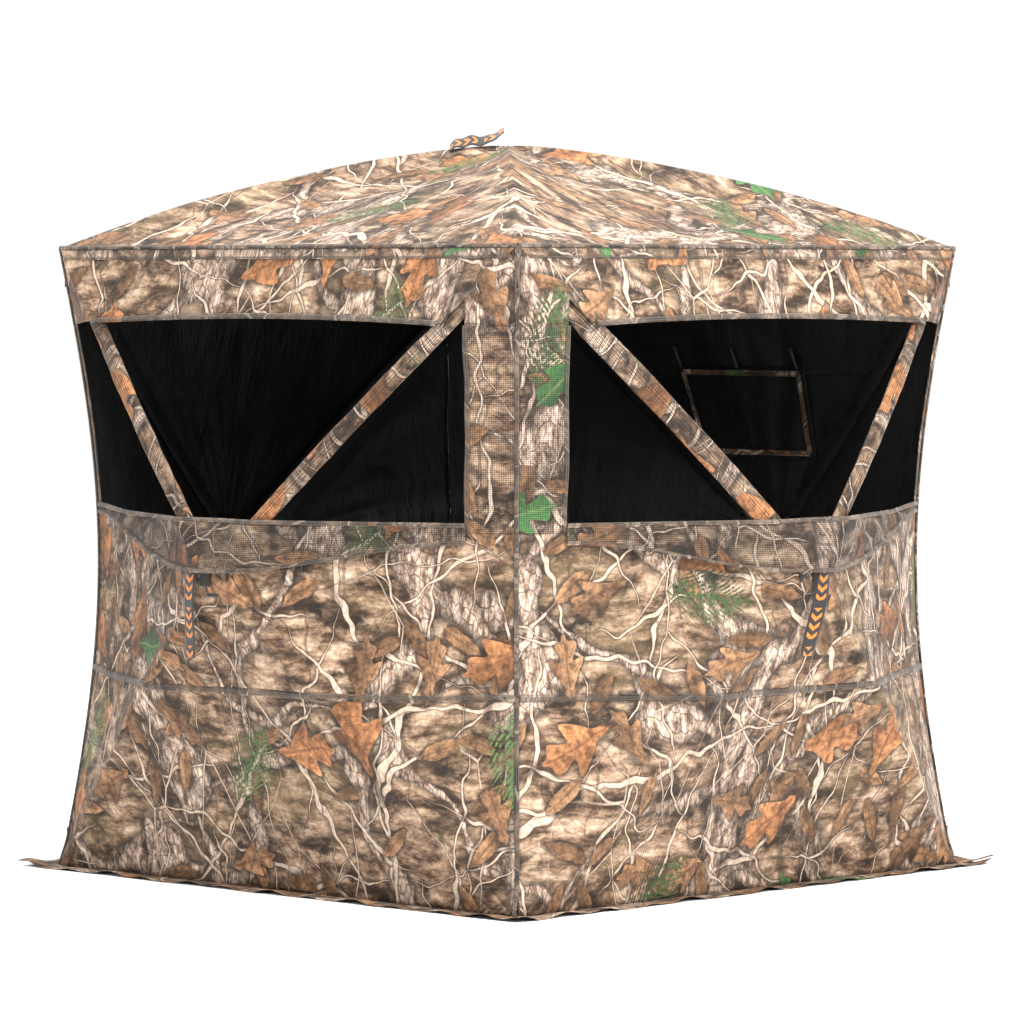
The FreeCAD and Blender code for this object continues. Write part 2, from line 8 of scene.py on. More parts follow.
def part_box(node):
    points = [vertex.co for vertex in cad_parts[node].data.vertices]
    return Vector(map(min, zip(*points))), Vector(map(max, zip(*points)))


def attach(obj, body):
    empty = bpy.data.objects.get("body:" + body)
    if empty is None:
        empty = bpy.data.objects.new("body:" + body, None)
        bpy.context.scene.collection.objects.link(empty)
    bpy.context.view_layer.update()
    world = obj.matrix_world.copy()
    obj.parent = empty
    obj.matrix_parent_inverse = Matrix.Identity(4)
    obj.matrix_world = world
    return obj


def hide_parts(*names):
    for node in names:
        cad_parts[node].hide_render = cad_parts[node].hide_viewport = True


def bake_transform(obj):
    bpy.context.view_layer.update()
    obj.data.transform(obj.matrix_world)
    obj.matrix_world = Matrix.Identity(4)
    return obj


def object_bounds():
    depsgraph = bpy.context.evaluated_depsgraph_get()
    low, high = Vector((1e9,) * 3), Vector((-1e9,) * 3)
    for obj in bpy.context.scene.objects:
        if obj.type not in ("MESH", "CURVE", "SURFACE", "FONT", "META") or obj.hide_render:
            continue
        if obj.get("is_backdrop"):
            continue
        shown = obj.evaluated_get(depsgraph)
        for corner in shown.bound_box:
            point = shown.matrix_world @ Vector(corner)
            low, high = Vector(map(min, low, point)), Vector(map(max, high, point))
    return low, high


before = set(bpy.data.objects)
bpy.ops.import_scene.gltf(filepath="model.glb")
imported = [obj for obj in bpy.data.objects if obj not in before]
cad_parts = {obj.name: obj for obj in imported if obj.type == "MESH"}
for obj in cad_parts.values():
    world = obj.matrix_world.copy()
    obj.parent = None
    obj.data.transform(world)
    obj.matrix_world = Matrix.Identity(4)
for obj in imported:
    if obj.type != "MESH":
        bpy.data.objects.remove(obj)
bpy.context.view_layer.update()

# ------------------------------------------------------------------ measures read from the frame, in metres
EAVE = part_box("eave_band")[1][2]
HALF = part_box("eave_band")[1][0] - 0.0015
MID = EAVE / 2.0
BULGE = -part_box("hub_front")[0][1] - HALF + 0.0055
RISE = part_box("hub_roof")[1][2] - EAVE + 0.005
SAG = 0.0626           # how far the corner seams are drawn in, along each wall
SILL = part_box("cover_front_right")[1][2] - 0.005 - MID
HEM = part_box("panel_front_top")[0][2] - MID
ARCH = 0.024           # the window's upper edge rises this much in the middle
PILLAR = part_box("cover_front_right")[1][0] + 0.028
FAR = 0.712
WALLS = ["front", "right", "back", "left"]


def smooth(x):
    x = min(max(x, 0.0), 1.0)
    return x * x * (3.0 - 2.0 * x)


def turn(k, x, y, z):
    c, s = ((1, 0), (0, 1), (-1, 0), (0, -1))[k % 4]
    return Vector((x * c - y * s, x * s + y * c, z))


def folds(k, u, v, strength):
    """Soft tension folds that run out from the hub, and broad puckers, in metres."""
    r = max(abs(u) / HALF, abs(v) / MID)
    around = math.atan2(v, u)
    ray = noise.noise(Vector((math.cos(around) * 5.0, math.sin(around) * 5.0, 3.1 * k + r * 1.2)))
    fine = noise.noise(Vector((math.cos(around) * 13.0, math.sin(around) * 13.0, 7.7 * k + r * 2.0)))
    broad = noise.noise(Vector((u * 4.2 + 9.0 * k, v * 4.2, 1.7)))
    small = noise.noise(Vector((u * 15.0 + 5.0 * k, v * 9.0, 4.4)))
    body = smooth(r * 4.0) * smooth((1.0 - r) * 9.0)
    return strength * body * (0.0042 * ray + 0.0026 * fine + 0.0035 * broad + 0.0014 * small)


def drop(r, e=0.035):
    """Height share from peak to edge, with the peak rounded over the hub."""
    return 1.0 - (math.sqrt(r * r + e * e) - e) / (math.sqrt(1.0 + e * e) - e)


def bulge_at(a, b, height, bow, slack):
    """Height of a bulging square skin: straight from peak to edge, bowed along its diagonals."""
    r = max(abs(a), abs(b))
    if r < 1e-9:
        return height
    s = min(abs(a), abs(b)) / r
    lift = 4.0 * r * (1.0 - r)
    return height * drop(r) + lift * (bow * s * s - slack * (1.0 - s * s))


def wall_at(k, u, v, out=0.0, strength=1.0):
    """Point on wall k's skin, out metres proud of it."""
    a, b = u / HALF, v / MID
    n = bulge_at(a, b, BULGE, 0.017, 0.006)
    if k in (2, 3):
        strength *= 1.6
    n += folds(k, u, v, strength) + out
    r = max(abs(a), abs(b))
    shift = 0.0
    if abs(a) >= abs(b) and r > 1e-6:
        shift = SAG * math.cos(math.pi * (v / r) / EAVE) * r ** 1.6
    if b < -0.9:
        n += 0.010 * smooth((-b - 0.9) / 0.1)
    return turn(k, u - math.copysign(shift, u), -(HALF + n - shift), MID + v)


def roof_at(u, v, out=0.0):
    a, b = u / HALF, v / HALF
    n = bulge_at(a, b, RISE, 0.040, 0.004) + folds(5, u, v, 0.8) + out
    return Vector((u, v, EAVE + n))


# ------------------------------------------------------------------ node helpers
class Nodes:
    """Short names for the shader nodes that the cloth prints are made of."""

    def __init__(self, tree):
        self.tree = tree

    def new(self, kind, **settings):
        made = self.tree.nodes.new(kind)
        for name, value in settings.items():
            setattr(made, name, value)
        return made

    def put(self, socket, value):
        if hasattr(value, "is_linked") or hasattr(value, "links"):
            self.tree.links.new(value, socket)
        else:
            socket.default_value = value

    def math(self, op, a, b=0.0, c=0.0, clamp=False):
        made = self.new("ShaderNodeMath", operation=op, use_clamp=clamp)
        for i, value in enumerate((a, b, c)):
            self.put(made.inputs[i], value)
        return made.outputs[0]

    def add(self, a, b):
        return self.math("ADD", a, b)

    def sub(self, a, b):
        return self.math("SUBTRACT", a, b)

    def mul(self, a, b):
        return self.math("MULTIPLY", a, b)

    def less(self, a, b, soft=0.0):
        """1 where a is below b, with a soft edge."""
        if soft <= 0.0:
            return self.math("LESS_THAN", a, b)
        gap = self.sub(b, a)
        return self.math("MULTIPLY_ADD", gap, 1.0 / soft, 0.5, clamp=True)

    def vector(self, x, y, z=0.0):
        made = self.new("ShaderNodeCombineXYZ")
        for i, value in enumerate((x, y, z)):
            self.put(made.inputs[i], value)
        return made.outputs[0]

    def split(self, vector):
        made = self.new("ShaderNodeSeparateXYZ")
        self.put(made.inputs[0], vector)
        return made.outputs

    def vmath(self, op, a, b=(0.0, 0.0, 0.0)):
        made = self.new("ShaderNodeVectorMath", operation=op)
        self.put(made.inputs[0], a)
        self.put(made.inputs[1], b)
        return made.outputs[0]

    def scaled(self, vector, factor):
        made = self.vmath("SCALE", vector)
        self.put(made.node.inputs[3], factor)
        return made

    def map(self, vector, move=(0, 0, 0), spin=0.0, scale=(1, 1, 1)):
        made = self.new("ShaderNodeMapping")
        self.put(made.inputs["Vector"], vector)
        made.inputs["Location"].default_value = move
        made.inputs["Rotation"].default_value = (0, 0, math.radians(spin))
        made.inputs["Scale"].default_value = scale
        return made.outputs[0]

    def noise(self, vector, scale, detail=3.0, rough=0.55, lacunarity=2.0):
        made = self.new("ShaderNodeTexNoise")
        made.noise_dimensions = "2D"
        self.put(made.inputs["Vector"], vector)
        made.inputs["Scale"].default_value = scale
        made.inputs["Detail"].default_value = detail
        made.inputs["Roughness"].default_value = rough
        made.inputs["Lacunarity"].default_value = lacunarity
        return made.outputs["Fac"]

    def cells(self, vector, scale, feature="F1", jitter=1.0):
        made = self.new("ShaderNodeTexVoronoi", voronoi_dimensions="2D", feature=feature)
        self.put(made.inputs["Vector"], vector)
        made.inputs["Scale"].default_value = scale
        made.inputs["Randomness"].default_value = jitter
        return made.outputs

    def ramp(self, fac, stops):
        made = self.new("ShaderNodeValToRGB")
        self.put(made.inputs[0], fac)
        line = made.color_ramp.elements
        while len(line) < len(stops):
            line.new(0.5)
        for point, (at, colour) in zip(line, stops):
            point.position = at
            point.color = (*colour, 1.0)
        return made.outputs[0]

    def mix(self, fac, a, b, blend="MIX"):
        made = self.new("ShaderNodeMix", data_type="RGBA", blend_type=blend)
        self.put(made.inputs[0], fac)
        for index, value in ((6, a), (7, b)):
            if isinstance(value, tuple) and len(value) == 3:
                value = (*value, 1.0)
            self.put(made.inputs[index], value)
        return made.outputs[2]

    def bump(self, height, strength, distance, normal=None):
        made = self.new("ShaderNodeBump")
        made.inputs["Strength"].default_value = strength
        made.inputs["Distance"].default_value = distance
        self.put(made.inputs["Height"], height)
        if normal is not None:
            self.put(made.inputs["Normal"], normal)
        return made.outputs[0]


def leaf_layer(n, where, scale, seed, keep, long, wide, lobes, depth, lean):
    """Leaves scattered one to a cell, each turned its own way: mask, shade, vein and the cell's number."""
    moved = n.map(where, move=seed)
    cell = n.cells(moved, scale, jitter=0.72)
    local = n.vmath("SUBTRACT", moved, cell["Position"])
    pick = n.new("ShaderNodeSeparateColor")
    n.put(pick.inputs[0], cell["Color"])
    spin = n.new("ShaderNodeVectorRotate", rotation_type="Z_AXIS")
    n.put(spin.inputs["Vector"], local)
    n.put(spin.inputs["Angle"], n.mul(pick.outputs[0], 6.283))
    axes = n.split(spin.outputs[0])
    wander = n.mul(n.sub(n.noise(moved, scale * 4.0, 1.0), 0.5), 0.10)
    x = n.mul(axes[0], 1.0 / long)
    y = n.add(n.mul(axes[1], 1.0 / long), wander)
    side = n.math("ABSOLUTE", y)
    taper = n.math("MAXIMUM", n.sub(1.0, n.mul(x, x)), 0.0)
    wave = n.math("COSINE", n.mul(n.add(x, n.mul(side, lean)), lobes))
    edge = n.mul(n.mul(taper, wide), n.sub(1.0, n.mul(n.add(n.mul(wave, 0.5), 0.5), depth)))
    kept = n.math("GREATER_THAN", pick.outputs[1], keep)
    mask = n.mul(n.less(side, edge, 0.03), kept)
    shadow = n.mul(n.less(side, n.add(edge, 0.13), 0.16), kept)
    stem = n.less(side, n.math("MULTIPLY_ADD", taper, 0.025, 0.012), 0.02)
    ribs = n.less(n.math("ABSOLUTE", n.math("COSINE", n.mul(n.sub(x, n.mul(side, 0.8)), lobes * 0.5))),
                  0.10, 0.1)
    vein = n.math("MAXIMUM", stem, n.mul(ribs, 0.6))
    shade = n.math("MULTIPLY_ADD", y, 0.9, n.math("MULTIPLY_ADD", pick.outputs[2], 0.7, 0.60))
    return mask, shadow, vein, shade, pick.outputs[2]


def lay(n, base, mask, colour, shade, shadow, vein, vein_colour, dark=0.55):
    base = n.mix(n.mul(shadow, dark), base, (0.018, 0.012, 0.008))
    tint = n.scaled(colour, shade)
    inked = n.mix(n.mul(vein, 0.55), tint, vein_colour)
    return n.mix(mask, base, inked)


def camo_group():
    """A woodland print of the maker's own: streaked ground, bark, twigs, leaves and sprigs."""
    group = bpy.data.node_groups.new("woodland_print", "ShaderNodeTree")
    group.interface.new_socket("Vector", in_out="INPUT", socket_type="NodeSocketVector")
    group.interface.new_socket("Color", in_out="OUTPUT", socket_type="NodeSocketColor")
    n = Nodes(group)
    source = n.new("NodeGroupInput").outputs[0]
    warp = n.scaled(n.vmath("SUBTRACT", _noise_colour(n, source, 5.0), (0.5, 0.5, 0.5)), 0.035)
    p = n.vmath("ADD", source, warp)

    # ground: leaf litter and grass stems in level streaks
    streak = n.noise(n.map(p, scale=(1.0, 2.7, 1.0)), 9.0, 8.0, 0.70)
    grain = n.noise(p, 90.0, 5.0, 0.75)
    ground = n.ramp(streak, [
        (0.34, (0.022, 0.014, 0.009)), (0.43, (0.085, 0.055, 0.036)), (0.50, (0.200, 0.140, 0.098)),
        (0.56, (0.310, 0.232, 0.168)), (0.63, (0.450, 0.360, 0.275)), (0.74, (0.640, 0.550, 0.450))])
    patch = n.noise(n.map(p, move=(3.1, 1.7, 0)), 3.4, 3.0, 0.6)
    ground = n.mix(n.math("MULTIPLY_ADD", patch, 5.0, -2.45, clamp=True), ground,
                   n.mix(0.45, ground, (0.150, 0.122, 0.062)))
    hollow = n.noise(n.map(p, move=(7.3, 4.1, 0), scale=(1.0, 1.5, 1.0)), 6.5, 5.0, 0.65)
    ground = n.mix(n.math("MULTIPLY_ADD", hollow, -8.0, 3.60, clamp=True), ground, (0.020, 0.013, 0.008))

    # trunks and boughs, with cracked bark
    crack = n.cells(n.map(p, scale=(1.0, 0.40, 1.0)), 70.0, "DISTANCE_TO_EDGE")["Distance"]
    flake = n.noise(n.map(p, scale=(2.0, 0.8, 1.0)), 30.0, 6.0, 0.75)
    bark = n.ramp(flake, [(0.33, (0.070, 0.048, 0.036)), (0.44, (0.210, 0.158, 0.125)),
                          (0.54, (0.430, 0.355, 0.300)), (0.68, (0.740, 0.660, 0.590))])
    bark = n.mix(n.mul(n.less(crack, 0.05, 0.06), 0.8), bark, (0.060, 0.040, 0.030))
    for spin, gap, width, seed, warm in ((66.0, 0.70, 0.017, 4.7, 0.80), (-58.0, 0.74, 0.021, 1.9, 0.85),
                                         (36.0, 0.82, 0.032, 5.9, 0.85), (-27.0, 0.92, 0.044, 2.3, 0.95),
                                         (7.0, 0.71, 0.058, 0.0, 1.0)):
        q = n.map(p, move=(seed, seed * 0.7, 0), spin=spin)
        axis = n.split(q)
        bend = n.mul(n.sub(n.noise(q, 2.2, 2.0), 0.5), 0.46)
        across = n.math("PINGPONG", n.add(axis[0], bend), gap * 0.5)
        along = n.noise(n.map(q, scale=(0.5, 1.0, 1.0)), 2.7, 1.0)
        rough = n.mul(n.sub(n.noise(q, 24.0, 2.0), 0.5), 0.014)
        girth = n.math("MULTIPLY_ADD", n.math("MULTIPLY_ADD", along, 3.4, -0.95), width, rough)
        share = n.math("DIVIDE", across, n.math("MAXIMUM", girth, 0.002))
        round_ = n.math("MAXIMUM", n.sub(1.0, n.mul(share, share)), 0.0)
        lit = n.math("MULTIPLY_ADD", round_, 0.85 * warm, 0.22)
        tint = n.scaled(bark, lit)
        halo = n.less(across, n.add(girth, 0.014), 0.022)
        ground = n.mix(n.mul(halo, 0.65), ground, (0.018, 0.012, 0.008))
        ground = n.mix(n.less(across, girth, 0.003), ground, tint)

    # dead twigs, pale with a dark edge: long crooked lines that come and go
    for spin, gap, width, seed in ((17.0, 0.24, 0.0034, 1.1), (-21.0, 0.29, 0.0032, 4.4), (50.0,
                                                                                           0.27, 0.0032, 8.4),
                                   (-47.0, 0.23, 0.0030, 2.7), (78.0, 0.33, 0.0028, 6.3),
                                   (-72.0, 0.29, 0.0028, 9.2), (3.0, 0.19, 0.0024, 5.5)):
        q = n.map(p, move=(seed, seed * 1.3, 0), spin=spin)
        bend = n.mul(n.sub(n.noise(q, 3.2, 3.0, 0.6), 0.5), 0.16)
        across = n.math("PINGPONG", n.add(n.split(q)[0], bend), gap * 0.5)
        along = n.noise(q, 2.6, 1.0)
        girth = n.mul(n.math("MULTIPLY_ADD", along, 6.0, -2.45), width)
        ground = n.mix(n.mul(n.less(across, n.add(girth, 0.003), 0.005), 0.7), ground, (0.026, 0.017,
                                                                                        0.012))
        ground = n.mix(n.less(across, girth, 0.0014), ground,
                       n.mix(flake, (0.200, 0.150, 0.115), (0.760, 0.670, 0.580)))
    fork = n.map(p, move=(6.1, 5.2, 0), spin=20.0, scale=(1.0, 0.6, 1.0))
    edge = n.cells(fork, 7.0, "DISTANCE_TO_EDGE")["Distance"]
    where = n.math("MULTIPLY_ADD", n.noise(fork, 2.4, 2.0), 7.0, -3.7, clamp=True)
    ground = n.mix(n.mul(n.less(edge, 0.022, 0.02), n.mul(where, 0.6)), ground, (0.030, 0.020, 0.014))
    ground = n.mix(n.mul(n.less(edge, 0.010, 0.008), where), ground, (0.480, 0.400, 0.330))

    # fallen and hanging leaves
    rust = (0.200, 0.098, 0.046)
    tan = (0.150, 0.090, 0.050)
    layers = (
        (9.0, (2.0, 9.0, 0), 0.60, 0.056, 0.33, 6.0, 0.10, 0.0, tan, (0.080, 0.042, 0.022)),
        (6.4, (5.5, 3.3, 0), 0.70, 0.074, 0.60, 8.4, 0.64, 1.0, (0.170, 0.102, 0.058), (0.080, 0.042,
                                                                                        0.022)),
        (4.7, (8.2, 6.1, 0), 0.66, 0.094, 0.64, 8.0, 0.62, 0.9, rust, (0.105, 0.042, 0.018)),
    )
    for scale, seed, keep, long, wide, lobes, depth, lean, colour, rib in layers:
        mask, shadow, vein, shade, _ = leaf_layer(n, p, scale, seed, keep, long, wide, lobes, depth, lean)
        spots = n.math("MULTIPLY_ADD", n.noise(p, 40.0, 5.0, 0.7), 3.4, -1.2, clamp=True)
        mottle = n.mix(spots, tuple(c * 0.55 for c in colour), tuple(min(c * 1.9, 1.0) for c in colour))
        ground = lay(n, ground, mask, mottle, shade, shadow, vein, rib, 0.7)
    # cedar sprigs and a few green oak leaves
    mask, shadow, vein, shade, _ = leaf_layer(n, p, 3.1, (1.3, 5.2, 0), 0.64, 0.120, 0.62, 44.0, 0.94, 1.5)
    thin = n.less(n.noise(p, 80.0, 3.0), 0.53, 0.06)
    ground = lay(n, ground, n.mul(mask, thin), (0.060, 0.115, 0.046), shade, n.mul(shadow, 0.6), vein,
                 (0.040, 0.075, 0.030), 0.35)
    mask, shadow, vein, shade, _ = leaf_layer(n, p, 3.3, (9.1, 1.9, 0), 0.86, 0.082, 0.58, 8.0, 0.64, 0.9)
    ground = lay(n, ground, mask, (0.042, 0.120, 0.040), shade, shadow, vein, (0.170, 0.230, 0.100))
    lightness = n.math("MULTIPLY_ADD", grain, 1.7, 0.13)
    warmer = n.vmath("MULTIPLY", ground, (1.02, 0.90, 0.80))
    final = n.scaled(warmer, lightness)
    out = n.new("NodeGroupOutput")
    n.put(out.inputs[0], final)
    return group


def _noise_colour(n, vector, scale):
    made = n.new("ShaderNodeTexNoise")
    made.noise_dimensions = "2D"
    n.put(made.inputs["Vector"], vector)
    made.inputs["Scale"].default_value = scale
    made.inputs["Detail"].default_value = 2.0
    return made.outputs["Color"]


def shader(name, rough, sheen=0.0, specular=0.5):
    material = bpy.data.materials.new(name)
    material.use_nodes = True
    n = Nodes(material.node_tree)
    lit = material.node_tree.nodes["Principled BSDF"]
    lit.inputs["Roughness"].default_value = rough
    lit.inputs["Specular IOR Level"].default_value = specular
    if sheen:
        lit.inputs["Sheen Weight"].default_value = sheen
        lit.inputs["Sheen Roughness"].default_value = 0.5
    return material, n, lit


def cloth_map(n):
    made = n.new("ShaderNodeUVMap")
    made.uv_map = "cloth"
    return made.outputs[0]


def weave(n, where, pitch):
    """Over-and-under of a plain weave as a height."""
    axes = n.split(where)
    a = n.math("SINE", n.mul(axes[0], 6.283 / pitch))
    b = n.math("SINE", n.mul(axes[1], 6.283 / pitch))
    return n.mul(a, b)


PRINT = camo_group()


def printed_cloth(name, light=1.0, holes=False, rough=0.78):
    material, n, lit = shader(name, rough, 0.04, 0.30)
    where = cloth_map(n)
    used = n.new("ShaderNodeGroup", node_tree=PRINT)
    n.put(used.inputs[0], where)
    colour = used.outputs[0]
    colour = n.scaled(colour, light)
    pucker = n.noise(n.map(where, spin=35.0, scale=(1.0, 0.45, 1.0)), 22.0, 4.0, 0.6)
    normal = n.bump(pucker, 0.35, 0.004)
    if holes:
        turned = n.map(where, spin=45.0)
        axes = n.split(turned)
        a = n.math("SINE", n.mul(axes[0], 6.283 / 0.0058))
        b = n.math("SINE", n.mul(axes[1], 6.283 / 0.0058))
        hole = n.math("MULTIPLY_ADD", n.mul(a, b), 3.0, -0.1, clamp=True)
        colour = n.mix(n.mul(hole, 0.86), colour, (0.006, 0.005, 0.005))
        normal = n.bump(hole, -0.4, 0.001, normal)
    else:
        normal = n.bump(weave(n, where, 0.0016), 0.12, 0.0004, normal)
        worn = n.noise(where, 3.0, 5.0, 0.7)
        n.put(lit.inputs["Roughness"], n.math("MULTIPLY_ADD", worn, 0.25, rough - 0.12))
    n.put(lit.inputs["Base Color"], colour)
    n.put(lit.inputs["Normal"], normal)
    return material


def black_cloth(name):
    """Black coated lining, crumpled and slightly shiny."""
    material, n, lit = shader(name, 0.46, 0.05, 0.32)
    where = cloth_map(n)
    tone = n.noise(where, 9.0, 5.0, 0.65)
    n.put(lit.inputs["Base Color"], n.ramp(tone, [(0.3, (0.0040, 0.0036, 0.0035)), (0.75, (0.014,
                                                                                           0.0125, 0.012))]))
    n.put(lit.inputs["Roughness"], n.math("MULTIPLY_ADD", tone, 0.3, 0.30))
    crush = n.noise(n.map(where, spin=50.0, scale=(1.0, 0.30, 1.0)), 11.0, 5.0, 0.62)
    crease = n.cells(n.map(where, spin=-25.0, scale=(1.0, 0.5, 1.0)), 9.0, "DISTANCE_TO_EDGE")["Distance"]
    normal = n.bump(crush, 0.65, 0.016)
    normal = n.bump(n.math("MINIMUM", crease, 0.12), 0.30, 0.02, normal)
    normal = n.bump(weave(n, where, 0.0016), 0.10, 0.0003, normal)
    n.put(lit.inputs["Normal"], normal)
    return material


def dark_binding(name, colour, pitch=0.004):
    """Woven edge tape with ribs and a mottled tone."""
    material, n, lit = shader(name, 0.8, 0.2, 0.3)
    where = cloth_map(n)
    axes = n.split(where)
    ribs = n.math("SINE", n.mul(axes[0], 6.283 / pitch))
    tone = n.noise(where, 40.0, 4.0, 0.7)
    low = tuple(c * 0.5 for c in colour)
    n.put(lit.inputs["Base Color"], n.ramp(tone, [(0.3, low), (0.7, colour)]))
    n.put(lit.inputs["Normal"], n.bump(ribs, 0.35, 0.0006))
    return material


def stitched_print(name, rows, light=0.8):
    """The same print as a folded hem, with rows of stitches across its width (cloth map y)."""
    material, n, lit = shader(name, 0.8, 0.15, 0.35)
    where = cloth_map(n)
    used = n.new("ShaderNodeGroup", node_tree=PRINT)
    n.put(used.inputs[0], where)
    colour = n.scaled(used.outputs[0], light)
    rib = n.new("ShaderNodeUVMap")
    rib.uv_map = "tape"
    axes = n.split(rib.outputs[0])
    height = None
    for at in rows:
        line = n.less(n.math("ABSOLUTE", n.sub(axes[1], at)), 0.0009, 0.0006)
        dash = n.math("MULTIPLY_ADD", n.math("SINE", n.mul(axes[0], 6.283 / 0.005)), 3.0, 1.4, clamp=True)
        thread = n.mul(line, dash)
        # the groove beside each stitch row is darkened in colour, which is painted shade in the recess; the
        # same mask also sinks it in the bump
        groove_depth_and_shade = n.less(n.math("ABSOLUTE", n.sub(axes[1], at)), 0.0024, 0.003)
        colour = n.mix(n.mul(groove_depth_and_shade, 0.5), colour, (0.03, 0.022, 0.016))
        colour = n.mix(n.mul(thread, 0.9), colour, (0.10, 0.080, 0.060))
        height = n.sub(thread, groove_depth_and_shade) if height is None else n.add(height, n.sub(thread, groove_depth_and_shade))
    n.put(lit.inputs["Base Color"], colour)
    if height is not None:
        n.put(lit.inputs["Normal"], n.bump(height, 0.6, 0.0012))
    return material


def webbing(name):
    """Black webbing with orange chevrons and bars down its middle."""
    material, n, lit = shader(name, 0.72, 0.3, 0.4)
    rib = n.new("ShaderNodeUVMap")
    rib.uv_map = "tape"
    axes = n.split(rib.outputs[0])
    along, across = axes[0], axes[1]
    side = n.math("ABSOLUTE", across)
    step = n.math("FRACT", n.mul(n.add(along, n.mul(side, 0.9)), 1.0 / 0.021))
    bars = n.mul(n.less(step, 0.46, 0.06), n.less(side, 0.0115, 0.001))
    skip = n.math("FRACT", n.mul(along, 1.0 / 0.085))
    bars = n.mul(bars, n.less(skip, 0.80, 0.02))
    tone = n.noise(rib.outputs[0], 300.0, 2.0, 0.6)
    black = n.ramp(tone, [(0.3, (0.006, 0.006, 0.006)), (0.7, (0.020, 0.019, 0.018))])
    orange = n.ramp(tone, [(0.3, (0.42, 0.125, 0.012)), (0.7, (0.62, 0.20, 0.022))])
    n.put(lit.inputs["Base Color"], n.mix(bars, black, orange))
    a = n.math("SINE", n.mul(along, 6.283 / 0.0022))
    b = n.math("SINE", n.mul(across, 6.283 / 0.0030))
    n.put(lit.inputs["Normal"], n.bump(n.mul(a, b), 0.5, 0.0006))
    return material


def hard_black(name, colour, rough):
    material, n, lit = shader(name, rough, 0.0, 0.5)
    where = n.new("ShaderNodeTexCoord").outputs["Object"]
    tone = n.new("ShaderNodeTexNoise")
    n.put(tone.inputs["Vector"], where)
    tone.inputs["Scale"].default_value = 60.0
    tone.inputs["Detail"].default_value = 4.0
    low = tuple(c * 0.7 for c in colour)
    n.put(lit.inputs["Base Color"], n.ramp(tone.outputs["Fac"], [(0.3, low), (0.7, colour)]))
    n.put(lit.inputs["Roughness"], n.math("MULTIPLY_ADD", tone.outputs["Fac"], 0.25, rough - 0.1))
    fine = n.new("ShaderNodeTexNoise")
    n.put(fine.inputs["Vector"], where)
    fine.inputs["Scale"].default_value = 900.0
    n.put(lit.inputs["Normal"], n.bump(fine.outputs["Fac"], 0.15, 0.0006))
    return material


CAMO = printed_cloth("camo_cloth")
MESH = printed_cloth("printed_mesh", 0.95, holes=True)
# the covers' copy of the mesh print is darkened to 0.58 of the print, which is painted shade
SHADED_COVER = printed_cloth("cover_mesh_shaded", 0.58, holes=True)
BLACK = black_cloth("black_lining")
HEMMED = stitched_print("stitched_hem", (0.004, 0.009), 0.62)
EAVE_TAPE = stitched_print("eave_tape", (0.003, 0.024), 0.90)
BRIGHT_TRIM = stitched_print("window_trim", (0.004, 0.012), 1.7)
TAPE = dark_binding("dark_tape", (0.085, 0.066, 0.050))
ZIP = dark_binding("zip_tape", (0.020, 0.020, 0.020), 0.0026)
STRAP = webbing("strap_webbing")
NYLON = hard_black("moulded_nylon", (0.022, 0.022, 0.023), 0.42)
ROD = hard_black("glass_fibre_rod", (0.035, 0.034, 0.033), 0.32)


# ------------------------------------------------------------------ cloth building
def grid(name, point, rows, cols, out_way, mats=None, thick=0.0012, tape=None):
    """A sheet from point(a, b) -> (place, cloth map), a and b from 0 to 1, given real thickness."""
    if mats is None:
        mats = (CAMO, BLACK)
    places, maps = [], []
    for i in range(rows + 1):
        for j in range(cols + 1):
            place, flat = point(i / rows, j / cols)
            places.append(place)
            maps.append(flat)
    faces = []
    for i in range(rows):
        for j in range(cols):
            a = i * (cols + 1) + j
            quad = (a, a + 1, a + cols + 2, a + cols + 1)
            corners = [places[x] for x in quad]
            kept = [quad[x] for x in range(4) if (corners[x] - corners[x - 1]).length > 1e-6]
            if len(kept) >= 3:
                faces.append(tuple(kept))
    mesh = bpy.data.meshes.new(name)
    mesh.from_pydata([tuple(x) for x in places], [], faces)
    mesh.update()
    total = Vector((0, 0, 0))
    for face in mesh.polygons:
        total += face.normal * face.area
    if total.dot(Vector(out_way)) < 0.0:
        mesh.flip_normals()
    layer = mesh.uv_layers.new(name="cloth")
    for loop in mesh.loops:
        layer.data[loop.index].uv = maps[loop.vertex_index][:2]
    if tape is not None:
        second = mesh.uv_layers.new(name="tape")
        strips = [tape(i / rows, j / cols) for i in range(rows + 1) for j in range(cols + 1)]
        for loop in mesh.loops:
            second.data[loop.index].uv = strips[loop.vertex_index]
    for face in mesh.polygons:
        face.use_smooth = True
    made = bpy.data.objects.new(name, mesh)
    bpy.context.collection.objects.link(made)
    weld_points(made)
    for material in mats:
        made.data.materials.append(material)
    if thick:
        solid = made.modifiers.new("cloth_thickness", "SOLIDIFY")
        solid.thickness = thick
        solid.offset = -1.0
        solid.use_even_offset = True
        if len(mats) > 1:
            solid.material_offset = 1
    return made


def weld_points(obj):
    """Join the points that fall together where a sheet runs to a point."""
    work = bmesh.new()
    work.from_mesh(obj.data)
    bmesh.ops.remove_doubles(work, verts=work.verts, dist=1e-6)
    work.to_mesh(obj.data)
    work.free()


def join(parts, name):
    """Several sheets of one sewn piece as one object."""
    bpy.ops.object.select_all(action="DESELECT")
    area = sum(part["cut_area"] for part in parts)
    for part in parts:
        part.select_set(True)
    bpy.context.view_layer.objects.active = parts[0]
    bpy.ops.object.join()
    whole = parts[0]
    whole.name = name
    weld_points(whole)
    whole["cut_area"] = area
    return whole


def cut_area(start, stop, low, high, slope):
    """Flat area of a cut between two outlines, on a panel that rises by slope along the wall."""
    steps = 400
    width = abs(stop - start) / steps
    total = 0.0
    for i in range(steps):
        x = start + (stop - start) * (i + 0.5) / steps
        total += max(high(x) - low(x), 0.0) * width
    return total * math.hypot(1.0, slope)


